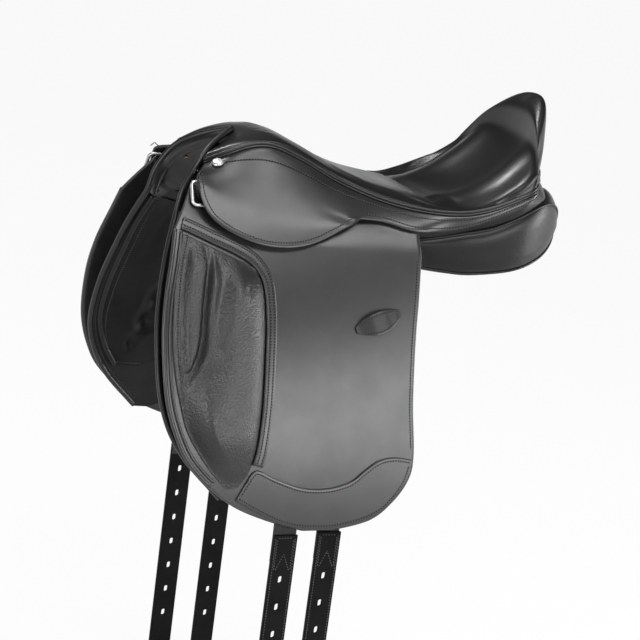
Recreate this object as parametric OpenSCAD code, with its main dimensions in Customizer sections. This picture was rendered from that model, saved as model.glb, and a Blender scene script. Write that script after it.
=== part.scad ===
// Dressage saddle on its own, level on its back, with its girth straps hanging.
// +X runs from pommel to cantle, +Z is up and the near (left) side is -Y.
// X = 0 and Z = 0 lie under the deepest part of the seat, on the plane of the panels' bearing faces.

/* [Seat] */
// Distance from the pommel crest to the cantle crest
seat_length = 360; // [340:1:380]
// Height of the pommel crest above the bearing plane
pommel_height = 150; // [144:1:158]
// Height of the deepest part of the seat
dip_height = 88; // [84:1:94]
// Height of the cantle crest
cantle_height = 215; // [200:1:230]
// Half width of the seat at its widest, behind the thigh
seat_half_width = 126; // [118:1:134]
// Thickness of the seat leather
seat_leather = 2.4; // [1.6:0.1:3]
// Diameter of the piped welt round the seat
welt_d = 5; // [4:0.2:6]

/* [Flaps] */
// Half distance between the flaps where they hang vertical
flap_spread = 195; // [185:1:210]
// Height over which the side curves from its slope at the tree to vertical
flap_drop = 400; // [380:1:430]
// Depth of the flap's lowest point under the bearing plane
flap_depth = 284; // [272:1:298]
// Length of the flap from its front bulge to its rear edge
flap_length = 314; // [302:1:326]
// Thickness of the flap leather
flap_leather = 4; // [3:0.1:4.6]
// Thickness of the skirt leather
skirt_leather = 3.4; // [2.6:0.1:4.2]
// How far the skirt stands off the flap over the stirrup bar
skirt_standoff = 8.6; // [8.4:0.1:11]
// Thickness of the sweat flap leather
sweat_leather = 3; // [2.4:0.1:4]
// Height of the knee block's ridge above the flap
block_height = 26; // [18:1:34]
// Thickness of the wear patch along the flap's lower edge
patch_leather = 2.2; // [1.4:0.1:3]
// Length of the stirrup leather keeper
keeper_length = 60; // [50:1:68]
// Width of the keeper at its middle
keeper_width = 25; // [20:1:30]
// Height of the keeper's bow above the flap
keeper_bow = 6.5; // [5:0.5:9]

/* [Panels] */
// Width of the channel between the panels
channel_width = 66; // [56:1:76]
// Thickness of the padded lining on the sweat flap
lining_pad = 16; // [10:1:20]

/* [Girth straps] */
// Width of a girth strap
strap_width = 30; // [25:0.5:32]
// Thickness of the strap leather
strap_leather = 4; // [3:0.1:4.2]
// Thickness of the webbing
web_thickness = 2; // [1.4:0.1:2.2]
// Length of the leather strap from its top edge to its tip
strap_length = 330; // [315:1:360]
// Distance between strap holes
hole_pitch = 34.5; // [25:0.5:36]
// Number of holes in a strap
hole_count = 7; // [5:1:7]
// Width of an oval strap hole
hole_width = 5; // [4:0.1:6]
// Length of an oval strap hole
hole_length = 9; // [7:0.1:11]

/* [Fittings] */
// Length of the stirrup bar
bar_length = 60; // [54:1:62]
// Thickness of the stirrup bar
bar_thickness = 6; // [5:0.1:6.4]
// Gap between the stirrup bar and its plate
bar_gap = 7.5; // [6:0.1:7.8]
// Length of the hinged catch from its pin
catch_length = 18; // [15:0.5:18]
// Diameter of the catch pin
catch_pin_d = 3; // [2.4:0.1:3.6]
// Wire diameter of the dee ring
dee_wire = 4; // [3:0.1:4.4]
// Length of the dee ring along its bar
dee_height = 28; // [24:0.5:32]
// Width of the dee ring
dee_width = 22; // [19:0.5:25]
// Diameter of the saddle stud's head
stud_d = 15; // [12:0.5:18]

/* [Hidden] */

// Clearances: between still leathers, and between a pin or wire and what it turns in
gap = 0.4;
running = 0.05;
$fn = 48;

// Leather, webbing and metal colours
black_leather = "#2b2b2c";
soft_leather = "#232324";
strap_black = "#1c1c1d";
web_black = "#202022";
steel = "#c9ccd0";
tree_brown = "#5b4a3a";
foam_grey = "#8f8f92";

// Interpolation

function lerp(a, b, t) = a + (b - a) * t;
function smooth(t) = let(c = max(0, min(1, t))) c * c * (3 - 2 * c);
// A swell that is 0 at both ends of 0..1 and 1 between, with shoulders that take up the share e
function swell(t, e = 0.3) = smooth(min(t, 1 - t) / e);

// One cubic stretch between b and c, with a and d as its neighbours
function stretch(a, b, c, d, t) =
    b + 0.5 * t * (c - a + t * (2 * a - 5 * b + 4 * c - d + t * (3 * (b - c) + d - a)));
// The point at share u of a smooth curve through pts
function along(pts, u) =
    let(n = len(pts) - 1, i = min(n - 1, floor(u * n)), t = u * n - i)
    stretch(pts[max(0, i - 1)], pts[i], pts[i + 1], pts[min(n, i + 2)], t);
function curve(pts, n) = [for (i = [0:n]) along(pts, i / n)];
// A closed smooth curve through pts
function ring(pts, n) =
    let(k = len(pts))
    [for (i = [0:n - 1]) let(u = i / n * k, j = floor(u), t = u - j)
        stretch(pts[(j + k - 1) % k], pts[j % k], pts[(j + 1) % k], pts[(j + 2) % k], t)];
function mirror_y(pts) = [for (p = pts) [p[0], -p[1], p[2]]];
function flip(list) = [for (i = [len(list) - 1:-1:0]) list[i]];

// Solid builders, all with triangular faces

// Triangles between n rings that each have k points
function wall_faces(n, k) = [for (i = [0:n - 2], j = [0:k - 1])
    let(a = i * k + j, b = i * k + (j + 1) % k) each [[a, b, b + k], [a, b + k, a + k]]];

// A closed stack of rings with a flat fan on each end
module loft(rings) {
    n = len(rings);
    k = len(rings[0]);
    s = (n - 1) * k;
    first = [for (j = [1:k - 2]) [0, j + 1, j]];
    last = [for (j = [1:k - 2]) [s, s + j, s + j + 1]];
    polyhedron([for (r = rings) each r], concat(wall_faces(n, k), first, last), convexity = 8);
}

// A leather sheet between two grids of points, outer and inner, joined round the rim
module sheet(outer, inner) {
    n = len(outer);
    k = 2 * len(outer[0]);
    s = (n - 1) * k;
    first = [for (j = [0:k / 2 - 2]) each [[j, k - 2 - j, j + 1], [j, k - 1 - j, k - 2 - j]]];
    last = [for (f = first) [s + f[0], s + f[2], s + f[1]]];
    rims = [for (i = [0:n - 1]) concat(outer[i], flip(inner[i]))];
    polyhedron([for (r = rims) each r], concat(wall_faces(n, k), first, last), convexity = 8);
}

// A round tube along a path, with rings square to it
function tube_ring(path, i, r, k) =
    let(n = len(path) - 1, d = path[min(n, i + 1)] - path[max(0, i - 1)], t = d / norm(d),
        side = cross(t, [0, 0, 1]), a = side / norm(side), b = cross(a, t))
    [for (j = [0:k - 1]) path[i] + r * (a * cos(360 * j / k) + b * sin(360 * j / k))];
module tube(path, d, k = 8) {
    loft([for (i = [0:len(path) - 1]) tube_ring(path, i, d / 2, k)]);
}

module off_side() {
    mirror([0, 1, 0]) children();
}

// The side of the saddle: every flap, skirt and lining lies on this surface, given by its half width

pommel_x = -194;
cantle_x = pommel_x + seat_length;
// Line along the foot of the seat where the side starts, from the stud to the flap's rear corner
brow_front = [-277, 65, 118];
brow_rear = [-33, seat_half_width - 8, 54];
function brow(x) = lerp(brow_front, brow_rear, (x - brow_front[0]) / (brow_rear[0] - brow_front[0]));
function side_y(x, z) =
    let(s = brow(x), h = max(0, s[2] - z), left = max(0, 1 - h / flap_drop))
    flap_spread - (flap_spread - s[1]) * left * left;
function on_side(x, z, off) = [x, -(side_y(x, z) + off), z];

// Grid on the side between two rails in the X-Z plane. The distance out is a function of the shares
// u along the rails and v across them, and of the point itself.
function side_grid(rail_a, rail_b, m, off) =
    let(n = len(rail_a) - 1)
    [for (i = [0:n]) [for (j = [0:m])
        let(p = lerp(rail_a[i], rail_b[i], j / m)) on_side(p[0], p[1], off(i / n, j / m, p))]];
module side_sheet(rail_a, rail_b, m, inner, outer) {
    sheet(side_grid(rail_a, rail_b, m, outer), side_grid(rail_a, rail_b, m, inner));
}
function level(off) = function(u, v, p) off;

// Frame on the side at x, z: its columns run rearward, up along the side, and outward
function frame_at(x, z) =
    let(e = 0.5, p = on_side(x, z, 0), dx = on_side(x + e, z, 0) - on_side(x - e, z, 0),
        dz = on_side(x, z + e, 0) - on_side(x, z - e, 0),
        a = dx / norm(dx), w = cross(dx, dz), c = w / norm(w), b = cross(c, a))
    [[a[0], b[0], c[0], p[0]], [a[1], b[1], c[1], p[1]], [a[2], b[2], c[2], p[2]], [0, 0, 0, 1]];

// Layers of the side, as distances out from the flap's outer face
flap_in = -flap_leather;
point_out = flap_in - 1.6;
point_web_out = point_out - strap_leather - 0.2;
point_web_in = point_web_out - web_thickness;
balance_out = point_web_in - 1.2;
balance_web_out = balance_out - strap_leather - 0.2;
balance_web_in = balance_web_out - web_thickness;
sweat_out = balance_web_in - 1.6;
sweat_in = sweat_out - sweat_leather;
tree_side_out = -12.7;
bar_in = -0.5;
plate_out = bar_in - bar_gap;

// Lines on the side along which leathers fold: the skirt under the seat, the flap under the skirt
skirt_fold = [[-297, 108], [-100, 66]];
flap_fold = [[-328, 47], [-26, 30]];
function fold_z(fold, x) =
    lerp(fold[0][1], fold[1][1], (x - fold[0][0]) / (fold[1][0] - fold[0][0]));

// Seat: an edge line along the welt and a crest line over the middle, with a rib between them at each
// station

edge_line = [[-282, 50, 119], [-258, 55, 130], [-234, 57, 140], [-212, 59, 144], [-190, 61.5, 140],
    [-158, 66, 127], [-121, 72, 109], [-76, 86, 94], [-32, 100, 86], [13, seat_half_width - 12, 85],
    [45, seat_half_width - 3, 91], [80, seat_half_width, 104], [114, seat_half_width - 5, 119],
    [cantle_x - 40, seat_half_width - 27, 127], [cantle_x - 19, 66, 131], [cantle_x - 6, 32, 132],
    [cantle_x - 2, 0, 132]];
crest_line = [[-246, 0, 132], [-238, 0, 141], [-228, 0, pommel_height - 5.5],
    [pommel_x - 21, 0, pommel_height - 2.5], [pommel_x, 0, pommel_height], [-160, 0, 136.5],
    [-122, 0, 119.5], [-78, 0, dip_height + 16.5], [-36, 0, dip_height + 7.5], [12, 0, dip_height],
    [56, 0, dip_height + 8.5], [cantle_x - 70, 0, lerp(dip_height, cantle_height, 0.245)],
    [cantle_x - 31, 0, cantle_height - 55], [cantle_x - 21, 0, cantle_height - 17],
    [cantle_x, 0, cantle_height], [cantle_x + 4, 0, cantle_height - 43], [cantle_x - 2, 0, 132]];

// Point on the seat at share u from pommel to cantle and angle a, from 0 on the edge to 90 on the crest
function seat_at(u, a) =
    let(e = along(edge_line, u), c = along(crest_line, u), q = pow(max(0, cos(a)), 0.8),
        k = pow(sin(a), lerp(0.85, 1.1, smooth((u - 0.4) / 0.5))))
    [lerp(c[0], e[0], q * q), -e[1] * q, lerp(e[2], c[2], k)];
function seat_normal(u, a) =
    let(du = seat_at(min(1, u + 0.006), a) - seat_at(max(0, u - 0.006), a),
        da = seat_at(u, min(90, a + 4)) - seat_at(u, max(0, a - 4)),
        n = a > 89 ? cross(du, [0, 1, 0]) : cross(du, da))
    n / norm(n);
function seat_under(u, a, depth) = seat_at(u, a) - depth * seat_normal(u, a);
// Point under the seat foam, and lower by drop for what lies beneath
foam_floor = 26;
function bed_at(u, a, drop = 0) =
    let(e = along(edge_line, u), c = along(crest_line, u), low = e[2] - 8,
        k = pow(sin(a), 0.8), q = pow(max(0, cos(a)), 0.8))
    [lerp(c[0], e[0], q * q), -(e[1] - 9) * q, lerp(low, max(low, c[2] - foam_floor), k) - drop];
function whole_rib(half) = concat(half, flip(mirror_y([for (j = [0:len(half) - 2]) half[j]])));

// The seat and what lies under it share their stations from pommel to cantle and their lines up each rib,
// so that the layers stay parallel
stations = 32;
lines = 7;
function share(i) = i / stations * 0.985;
function seat_grid(i0, i1, depth) = [for (i = [i0:i1])
    whole_rib([for (j = [0:lines]) seat_under(share(i), 90 * j / lines, depth)])];
function bed_grid(i0, i1, j0, drop) = [for (i = [i0:i1])
    whole_rib([for (j = [j0:lines]) bed_at(share(i), 90 * j / lines, drop)])];
function bed_strip(i0, i1, j0, j1, drop, trim = 0) = [for (i = [i0:i1])
    let(s = i == i0 ? i + trim : i == i1 ? i - trim : i)
    [for (j = [j0:j1]) bed_at(share(s), 90 * j / lines, drop)]];

// Tree pieces: depth of their tops under the foam, depth of their undersides, and the stations where
// they meet
tree_top = 2.6;
tree_low = tree_top + 8;
head_end = 8;
rail_end = 22;
cantle_end = 27;
joint_gap = 0.02;

module tree_head() {
    color(tree_brown) sheet(bed_grid(3, head_end, 1, tree_top), bed_grid(3, head_end, 1, tree_low));
}

module near_tree_rail() {
    color(tree_brown) sheet(bed_strip(head_end, rail_end, 1, 4, tree_top, joint_gap),
        bed_strip(head_end, rail_end, 1, 4, tree_low, joint_gap));
}

module tree_cantle() {
    color(tree_brown) sheet(bed_grid(rail_end, cantle_end, 1, tree_top),
        bed_grid(rail_end, cantle_end, 1, tree_low));
}

// Steel arch under the tree's head, square in section, with its arms inside the tree's sides
arch_width = 28;
arch_thick = 4;
arch_line = [[-235, 57, 92], [-233, 52.5, 101], [-230, 44, 107.5], [-228, 32, 111.5], [-227, 16, 113.7],
    [-227, 0, 114.2]];
module gullet_plate() {
    half = [for (p = curve(arch_line, 8)) [p[0], -p[1], p[2]]];
    path = concat(half, flip(mirror_y([for (j = [0:len(half) - 2]) half[j]])));
    n = len(path) - 1;
    color(steel) loft([for (i = [0:n])
        let(d = path[min(n, i + 1)] - path[max(0, i - 1)], w = cross([1, 0, 0], d),
            t = w / norm(w) * arch_thick / 2, x = [arch_width / 2, 0, 0], p = path[i])
        [p + t - x, p - t - x, p - t + x, p + t + x]]);
}

// Side of the tree with its point, from under the rail down inside the flap
function tree_foot(x) = lerp(34, 43, smooth((x + 280) / 80));
function tree_side_rib(u) =
    let(top = bed_at(u, 16, tree_low + 0.9), x = along(edge_line, u)[0], brow_z = brow(x)[2] - 6)
    concat([top], [for (j = [0:3]) on_side(x, lerp(brow_z, tree_foot(x), j / 3), tree_side_out)]);
module near_tree_side() {
    rows = [for (i = [0:12]) tree_side_rib(lerp(0.02, 0.42, i / 12))];
    color(tree_brown) sheet([for (r = rows) [for (p = r) p + [0, 4.4, -1.6]]], rows);
}

module seat_webs() {
    top = bed_strip(4, 27, 5, 6, 0.4);
    low = bed_strip(4, 27, 5, 6, 2);
    color(web_black) {
        sheet(top, low);
        off_side() sheet(top, low);
    }
}

module seat_foam() {
    color(foam_grey) sheet(seat_grid(1, 28, seat_leather + 2 * gap), bed_grid(1, 28, 0, 0));
}

module seat_cover() {
    color(soft_leather) sheet(seat_grid(0, stations, 0), seat_grid(0, stations, seat_leather));
}

// Piped welt that closes the seat leather on the skirts, just under its edge
welt_drop = welt_d / 2 + 2 * gap;
module seat_welt() {
    half = [for (i = [0:28]) let(p = along(edge_line, i / 28 * 0.98)) [p[0], -p[1], p[2] - welt_drop]];
    color(soft_leather) tube(concat(half, flip(mirror_y(half))), welt_d, 6);
}

// Skirt above its fold: a fixed band from under the welt down to the fold, and on round the cantle.
// At the fold its inner face already stands this far off the flap.
fold_out = 5.2;
function fold_point(x) =
    let(z = fold_z(skirt_fold, x) + gap)
    [x, side_y(x, z) + fold_out + skirt_leather, z];
band_foot = [fold_point(-296), fold_point(-272), fold_point(-243), fold_point(-214), fold_point(-190),
    fold_point(-158), fold_point(-121), [-76, 109.5, 67.5], [-34, 118, 59], [6, seat_half_width - 10, 60],
    [42, seat_half_width - 1, 71], [80, seat_half_width + 3, 89], [114, seat_half_width - 2, 105],
    [cantle_x - 38, seat_half_width - 24, 113], [cantle_x - 17, 68, 117], [cantle_x - 3, 33, 118],
    [cantle_x + 1, 0, 118]];
function band_at(u, t) =
    let(e = along(edge_line, u), b = along(band_foot, u),
        top = [e[0], e[1] + 1.4, e[2] - welt_drop - welt_d / 2 - gap],
        p = lerp(top, b, t) + [0, 1.5, 0.9] * sin(180 * t))
    [p[0], -p[1], p[2]];
// Way in from the band's outer face to its inner one, turning from sideways at the skirt to forward at
// the cantle
function band_in(u, t) =
    let(back = smooth((u - 0.75) / 0.18))
    skirt_leather * [-0.8 * back, 0.9 - 0.54 * back, -0.3 * (1 - back) * (1 - t)];
module near_skirt_band() {
    outer = [for (i = [0:28]) [for (j = [0:3]) band_at(i / 28 * 0.995, j / 3)]];
    inner = [for (i = [0:28]) [for (j = [0:3]) outer[i][j] + band_in(i / 28 * 0.995, j / 3)]];
    color(black_leather) sheet(outer, inner);
}

// Skirt below its fold, standing off over the stirrup bar
skirt_foot = [[-299, 104], [-297, 84], [-289, 67], [-277, 56], [-255, 45], [-230, 37.5], [-205, 35],
    [-180, 37], [-156, 43], [-128, 55], [-104, 65]];
module near_skirt() {
    n = 22;
    lift = function(u, v, p)
        lerp(fold_out, skirt_standoff, smooth((fold_z(skirt_fold, p[0]) - gap - p[1]) / 11));
    top = [for (i = [0:n]) let(x = lerp(-297, -101.5, i / n)) [x, fold_z(skirt_fold, x) - gap]];
    color(black_leather) side_sheet(top, curve(skirt_foot, n), 5, lift,
        function(u, v, p) lift(u, v, p) + skirt_leather);
}

// Flap above its fold: a strip nailed to the tree's side, cut low round the stirrup bar
flap_head_top = [[-299, 98], [-292, 74], [-275, 53], [-252, 47.5], [-200, 47.5], [-150, 60], [-100, 68],
    [-40, 62]];
module near_flap_head() {
    n = 16;
    seat_in = function(u, v, p) (tree_side_out + 0.8 - flap_in) * (1 - smooth(v));
    foot = [for (i = [0:n])
        let(x = lerp(flap_fold[0][0], flap_fold[1][0], i / n)) [x, fold_z(flap_fold, x) + gap]];
    color(black_leather) side_sheet(curve(flap_head_top, n), foot, 4,
        function(u, v, p) seat_in(u, v, p) + flap_in, seat_in);
}

// Flap below its fold
flap_rear = -27;
flap_front = flap_rear - flap_length;
flap_front_rail = [[flap_fold[0][0], fold_z(flap_fold, flap_fold[0][0])], [flap_front + 7, 15],
    [flap_front - 1, -0.09 * flap_depth], [flap_front - 4, -0.25 * flap_depth],
    [flap_front + 1, -0.46 * flap_depth], [flap_front + 16, -0.62 * flap_depth],
    [flap_front + 38, -0.74 * flap_depth], [flap_front + 83, -0.875 * flap_depth],
    [flap_front + 130, -0.95 * flap_depth], [flap_front + 180, -flap_depth]];
flap_rear_rail = [[flap_fold[1][0], fold_z(flap_fold, flap_fold[1][0])], [flap_rear - 2, -0.06 * flap_depth],
    [flap_rear - 5, -0.2 * flap_depth], [flap_rear - 6, -0.35 * flap_depth],
    [flap_rear - 5, -0.5 * flap_depth], [flap_rear, -0.69 * flap_depth],
    [flap_rear - 4, -0.79 * flap_depth], [flap_rear - 22, -0.885 * flap_depth],
    [flap_rear - 50, -0.962 * flap_depth], [flap_rear - 98, -flap_depth]];
module near_flap() {
    color(black_leather) side_sheet(curve(flap_front_rail, 24), curve(flap_rear_rail, 24), 6,
        level(flap_in), level(0));
}

// Knee block sewn on the flap's front: a shallow front strip, a groove, and a ridge that carries the thigh
block_front_rail = [[flap_front + 23, 43], [flap_front + 14, 7], [flap_front + 9, -0.117 * flap_depth],
    [flap_front + 8, -0.262 * flap_depth], [flap_front + 12, -0.383 * flap_depth],
    [flap_front + 19, -0.489 * flap_depth], [flap_front + 27, -0.577 * flap_depth],
    [flap_front + 42, -0.665 * flap_depth], [flap_front + 60, -0.746 * flap_depth],
    [flap_front + 79, -0.813 * flap_depth]];
block_rear_rail = [[flap_front + 108, 10], [flap_front + 117, -0.035 * flap_depth],
    [flap_front + 119, -0.167 * flap_depth], [flap_front + 118, -0.284 * flap_depth],
    [flap_front + 117, -0.4 * flap_depth], [flap_front + 116, -0.496 * flap_depth],
    [flap_front + 114, -0.583 * flap_depth], [flap_front + 111, -0.672 * flap_depth],
    [flap_front + 104, -0.753 * flap_depth], [flap_front + 92, -0.81 * flap_depth]];
function block_form(u, v) =
    let(ridge = smooth((v - 0.34) / 0.24) * smooth((1 - v) / 0.3), strip = 0.42 * swell(v, 0.3))
    swell(u, 0.22) * max(ridge * lerp(0.75, 1, swell(u, 0.5)), strip);
module near_knee_block() {
    color(soft_leather) side_sheet(curve(block_front_rail, 18), curve(block_rear_rail, 18), 10,
        level(gap), function(u, v, p) gap + 1.5 + (block_height - 1.5) * block_form(u, v));
}

// Wear patch sewn along the flap's lower edge, with a dipping upper edge
patch_top = [[flap_front + 106, -0.765 * flap_depth], [flap_front + 116, -0.74 * flap_depth],
    [flap_front + 139, -0.775 * flap_depth], [flap_front + 173, -0.815 * flap_depth],
    [flap_front + 205, -0.82 * flap_depth], [flap_front + 233, -0.795 * flap_depth],
    [flap_front + 250, -0.75 * flap_depth], [flap_front + 267, -0.71 * flap_depth],
    [flap_rear - 27, -0.695 * flap_depth], [flap_rear - 4, -0.705 * flap_depth]];
patch_foot = [[flap_front + 92, -0.862 * flap_depth], [flap_front + 114, -0.905 * flap_depth],
    [flap_front + 144, -0.955 * flap_depth], [flap_front + 176, -0.985 * flap_depth],
    [flap_rear - 102, -0.988 * flap_depth], [flap_rear - 70, -0.97 * flap_depth],
    [flap_rear - 40, -0.928 * flap_depth], [flap_rear - 20, -0.862 * flap_depth],
    [flap_rear - 7, -0.785 * flap_depth], [flap_rear - 3, -0.72 * flap_depth]];
module near_flap_patch() {
    color(black_leather) side_sheet(curve(patch_top, 24), curve(patch_foot, 24), 3,
        level(gap), level(gap + patch_leather));
}

// Keeper for the end of the stirrup leather: an eye-shaped strap bowed off the flap, its ends let into slits
keeper_mid = [-81.5, -42.5];
keeper_tilt = 21;
keeper_leather = 2.4;
function keeper_at(u, side) =
    let(l = (u - 0.5) * keeper_length, w = side * (keeper_width / 2) * (0.55 + 0.45 * sin(180 * u)))
    keeper_mid + [l * cos(keeper_tilt) - w * sin(keeper_tilt), l * sin(keeper_tilt) + w * cos(keeper_tilt)];
module near_keeper() {
    bow = function(u, v, p) gap + keeper_bow * swell(u, 0.42);
    color(black_leather) side_sheet([for (i = [0:14]) keeper_at(i / 14, 1)],
        [for (i = [0:14]) keeper_at(i / 14, -1)], 2, bow, function(u, v, p) bow(u, v, p) + keeper_leather);
}

// Sweat flap between the girth straps and the horse. Its front edge turns in towards the horse's shoulder.
toe_in = 26;
function toe(p) = toe_in * smooth((-235 - p[0]) / 100) * (1 - 0.6 * smooth((-20 - p[1]) / 130));
module near_sweat_flap() {
    front = [[flap_front + 29, 58], [flap_front + 16, 16], [flap_front + 7, -0.09 * flap_depth],
        [flap_front + 1, -0.25 * flap_depth], [flap_front + 2, -0.46 * flap_depth],
        [flap_front + 16, -0.62 * flap_depth], [flap_front + 38, -0.74 * flap_depth],
        [flap_front + 60, -0.82 * flap_depth], [flap_front + 80, -0.89 * flap_depth]];
    rear = [[flap_rear - 34, 42], [flap_rear - 33, 0], [flap_rear - 33, -0.16 * flap_depth],
        [flap_rear - 35, -0.32 * flap_depth], [flap_rear - 38, -0.48 * flap_depth],
        [flap_rear - 48, -0.63 * flap_depth], [flap_rear - 80, -0.72 * flap_depth],
        [flap_rear - 140, -0.79 * flap_depth], [flap_rear - 212, -0.895 * flap_depth]];
    color(soft_leather) side_sheet(curve(front, 14), curve(rear, 14), 14,
        function(u, v, p) sweat_in - toe(p), function(u, v, p) sweat_out - toe(p));
}

// Padded lining on the sweat flap's inner face, drawn down by three tufts
tufts = [[0.515, 0.36], [0.63, 0.355], [0.79, 0.315]];
lining_gap = 2 * gap;
module near_lining() {
    front = [[flap_front + 40, 50], [flap_front + 28, 16], [flap_front + 19, -0.09 * flap_depth],
        [flap_front + 13, -0.25 * flap_depth], [flap_front + 14, -0.44 * flap_depth],
        [flap_front + 27, -0.58 * flap_depth], [flap_front + 45, -0.68 * flap_depth]];
    rear = [[flap_rear - 84, -4], [flap_rear - 80, -0.177 * flap_depth],
        [flap_rear - 86, -0.335 * flap_depth], [flap_rear - 104, -0.46 * flap_depth], [flap_rear - 142, -0.55 * flap_depth],
        [flap_rear - 190, -0.63 * flap_depth], [flap_rear - 236, -0.69 * flap_depth]];
    dent = function(u, v) max([for (t = tufts) max(0, 1 - norm([(u - t[0]) * 220, (v - t[1]) * 200]) / 26)]);
    pad = function(u, v, p) sweat_in - lining_gap - 2 - toe(p)
        - (lining_pad - 2) * swell(u, 0.3) * swell(v, 0.3) * (1 - 0.6 * smooth(dent(u, v)));
    color(soft_leather) side_sheet(curve(front, 18), curve(rear, 18), 12, pad,
        function(u, v, p) sweat_in - lining_gap - toe(p));
}

// Wool-filled panel: sections from the pommel to the rear gusset. Each row holds the station along X,
// how far its section leans back, its outer half width, the heights of its inner and outer top, of its
// outer and inner foot, and the crown between its top edges.
panel_rows = [
    [-246, 0.7, 48, 99, 88, 72, 82, 2],
    [-226, 0.6, 57, 103, 82, 46, 67, 3],
    [-172, 0.35, 76, 112, 76, 23, 50, 4],
    [-112, 0.1, 90, 90.5, 60, 12, 34, 5],
    [-62, 0, 97, 75, 50, 6, 25, 7],
    [-15, 0, 106, 69, 47, 2, 20, 6],
    [34, 0, seat_half_width - 8, 62, 60, 0, 16, 6],
    [72, 0, seat_half_width - 3, 70, 72, 4, 18, 5],
    [108, 0, seat_half_width - 5, 86, 88, 8, 21, 6],
    [cantle_x - 26, 0, seat_half_width - 22, 106, 102, 15, 27, 10],
    [cantle_x + 1, 0, 82, 106, 96, 24, 36, 10],
    [cantle_x + 19, 0, 66, 88, 80, 39, 47, 6],
    [cantle_x + 27, 0, 54, 69, 65, 50, 54, 2]];
function panel_ring(r) =
    let(x = r[0], a = channel_width / 2, b = r[2], ti = r[3], to = r[4], bo = r[5], bi = r[6],
        pts = [[a + 2, ti - 5], [lerp(a, b, 0.5), lerp(ti, to, 0.5) + r[7]], [b - 3, to - 1],
            [b + 1, lerp(to, bo, 0.45)], [b - 7, bo + 6], [lerp(a, b, 0.55), lerp(bo, bi, 0.3) - 1],
            [a + 7, bi - 1], [a, lerp(ti, bi, 0.5)]])
    [for (p = ring(pts, 14))
        let(xs = x - r[1] * (p[0] - a), inside = side_y(xs, p[1]) + sweat_in - gap - toe([xs, p[1]]),
            y = xs < flap_rear - 20 ? min(p[0], inside) : p[0])
        [xs, -y, p[1]]];
module near_panel() {
    color(soft_leather) loft([for (r = curve(panel_rows, 30)) flip(panel_ring(r))]);
}

// Girth straps: webbing hung from the tree inside the flap, with punched leather sewn to its lower end
point_x = -179;
balance_x = -121;
web_overlap = 20;
web_pivot = 12;
leather_top = -flap_depth - 1;
sewn_length = 40;
module web(x, z_top, z_low, outer, inner) {
    steps = [for (i = [0:14]) lerp(z_top, z_low, i / 14)];
    face = [for (z = steps) [-(side_y(x, z) + outer), z]];
    back = [for (z = steps) [-(side_y(x, z) + inner), z]];
    translate([x - strap_width / 2, 0, 0]) rotate([90, 0, 90]) linear_extrude(strap_width)
        polygon(concat(face, flip(back)));
}
module strap(x, outer) {
    w = strap_width / 2;
    low = leather_top - strap_length;
    translate([x, -(flap_spread + outer), 0]) rotate([90, 0, 0]) mirror([0, 0, 1])
        linear_extrude(strap_leather) difference() {
            polygon([[-w, leather_top], [w, leather_top], [w, low + 14], [w - 5, low + 4], [w - 11, low],
                [11 - w, low], [5 - w, low + 4], [-w, low + 14]]);
            for (i = [0:hole_count - 1]) translate([0, leather_top - 61 - i * hole_pitch]) {
                square([hole_width, hole_length - hole_width], center = true);
                translate([0, (hole_length - hole_width) / 2]) circle(d = hole_width);
                translate([0, (hole_width - hole_length) / 2]) circle(d = hole_width);
            }
        }
}

module near_girth_webs() {
    color(web_black) {
        for (x = [point_x, balance_x]) web(x, tree_foot(x) - 2, web_pivot - web_overlap / 2,
            point_web_in - 0.8, balance_web_out + 0.8);
    }
}
module near_point_web() {
    color(web_black) web(point_x, web_pivot + web_overlap / 2, leather_top - sewn_length, point_web_out,
        point_web_in);
}
module near_point_strap() {
    color(strap_black) strap(point_x, point_out);
}
module near_balance_web() {
    color(web_black) web(balance_x, web_pivot + web_overlap / 2, leather_top - sewn_length, balance_web_out,
        balance_web_in);
}
module near_balance_strap() {
    color(strap_black) strap(balance_x, balance_out);
}

// Stirrup bar: a plate riveted to the tree's side, a post at its front and a flat bar open at its rear,
// where a hinged catch turns up to hold the stirrup leather
bar_place = [-234, 64];
bar_height = 14;
plate_size = [68, 20, 2.5];
ear = 1.3;
pin_u = bar_length / 2 - 4;
tongue_in = bar_in + ear + gap / 2;
tongue_out = bar_in + bar_thickness - ear - gap / 2;
module at_bar() {
    multmatrix(frame_at(bar_place[0], bar_place[1])) children();
}
module block(u0, u1, v0, v1, w0, w1) {
    translate([u0, v0, w0]) cube([u1 - u0, v1 - v0, w1 - w0]);
}
rivet_d = 5;
rivet_spots = [[-16, 0], [24, 0]];
module near_stirrup_bar() {
    color(steel) at_bar() difference() {
        union() {
            block(-plate_size[0] / 2, plate_size[0] / 2, -plate_size[1] / 2, plate_size[1] / 2,
                plate_out - plate_size[2], plate_out);
            block(-plate_size[0] / 2, 12 - plate_size[0] / 2, -bar_height / 2, bar_height / 2,
                plate_out - 1, bar_in + bar_thickness);
            block(10 - plate_size[0] / 2, pin_u + 4, -bar_height / 2, bar_height / 2,
                bar_in, bar_in + bar_thickness);
        }
        block(pin_u - 8, pin_u + 5, -bar_height, bar_height, bar_in + ear, bar_in + bar_thickness - ear);
        translate([pin_u, 0, bar_in - 1]) cylinder(d = catch_pin_d + 2 * running, h = bar_thickness + 2);
        for (s = rivet_spots) translate([s[0], s[1], plate_out - plate_size[2] - 1])
            cylinder(d = rivet_d + 2 * running, h = plate_size[2] + 2);
    }
}
module near_bar_rivets() {
    color(steel) at_bar() for (s = rivet_spots) translate([s[0], s[1], plate_out - plate_size[2]]) {
        cylinder(d = rivet_d, h = plate_size[2] + 0.5);
        translate([0, 0, plate_size[2] + 0.1]) cylinder(d = rivet_d + 3, h = 1);
    }
}
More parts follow.
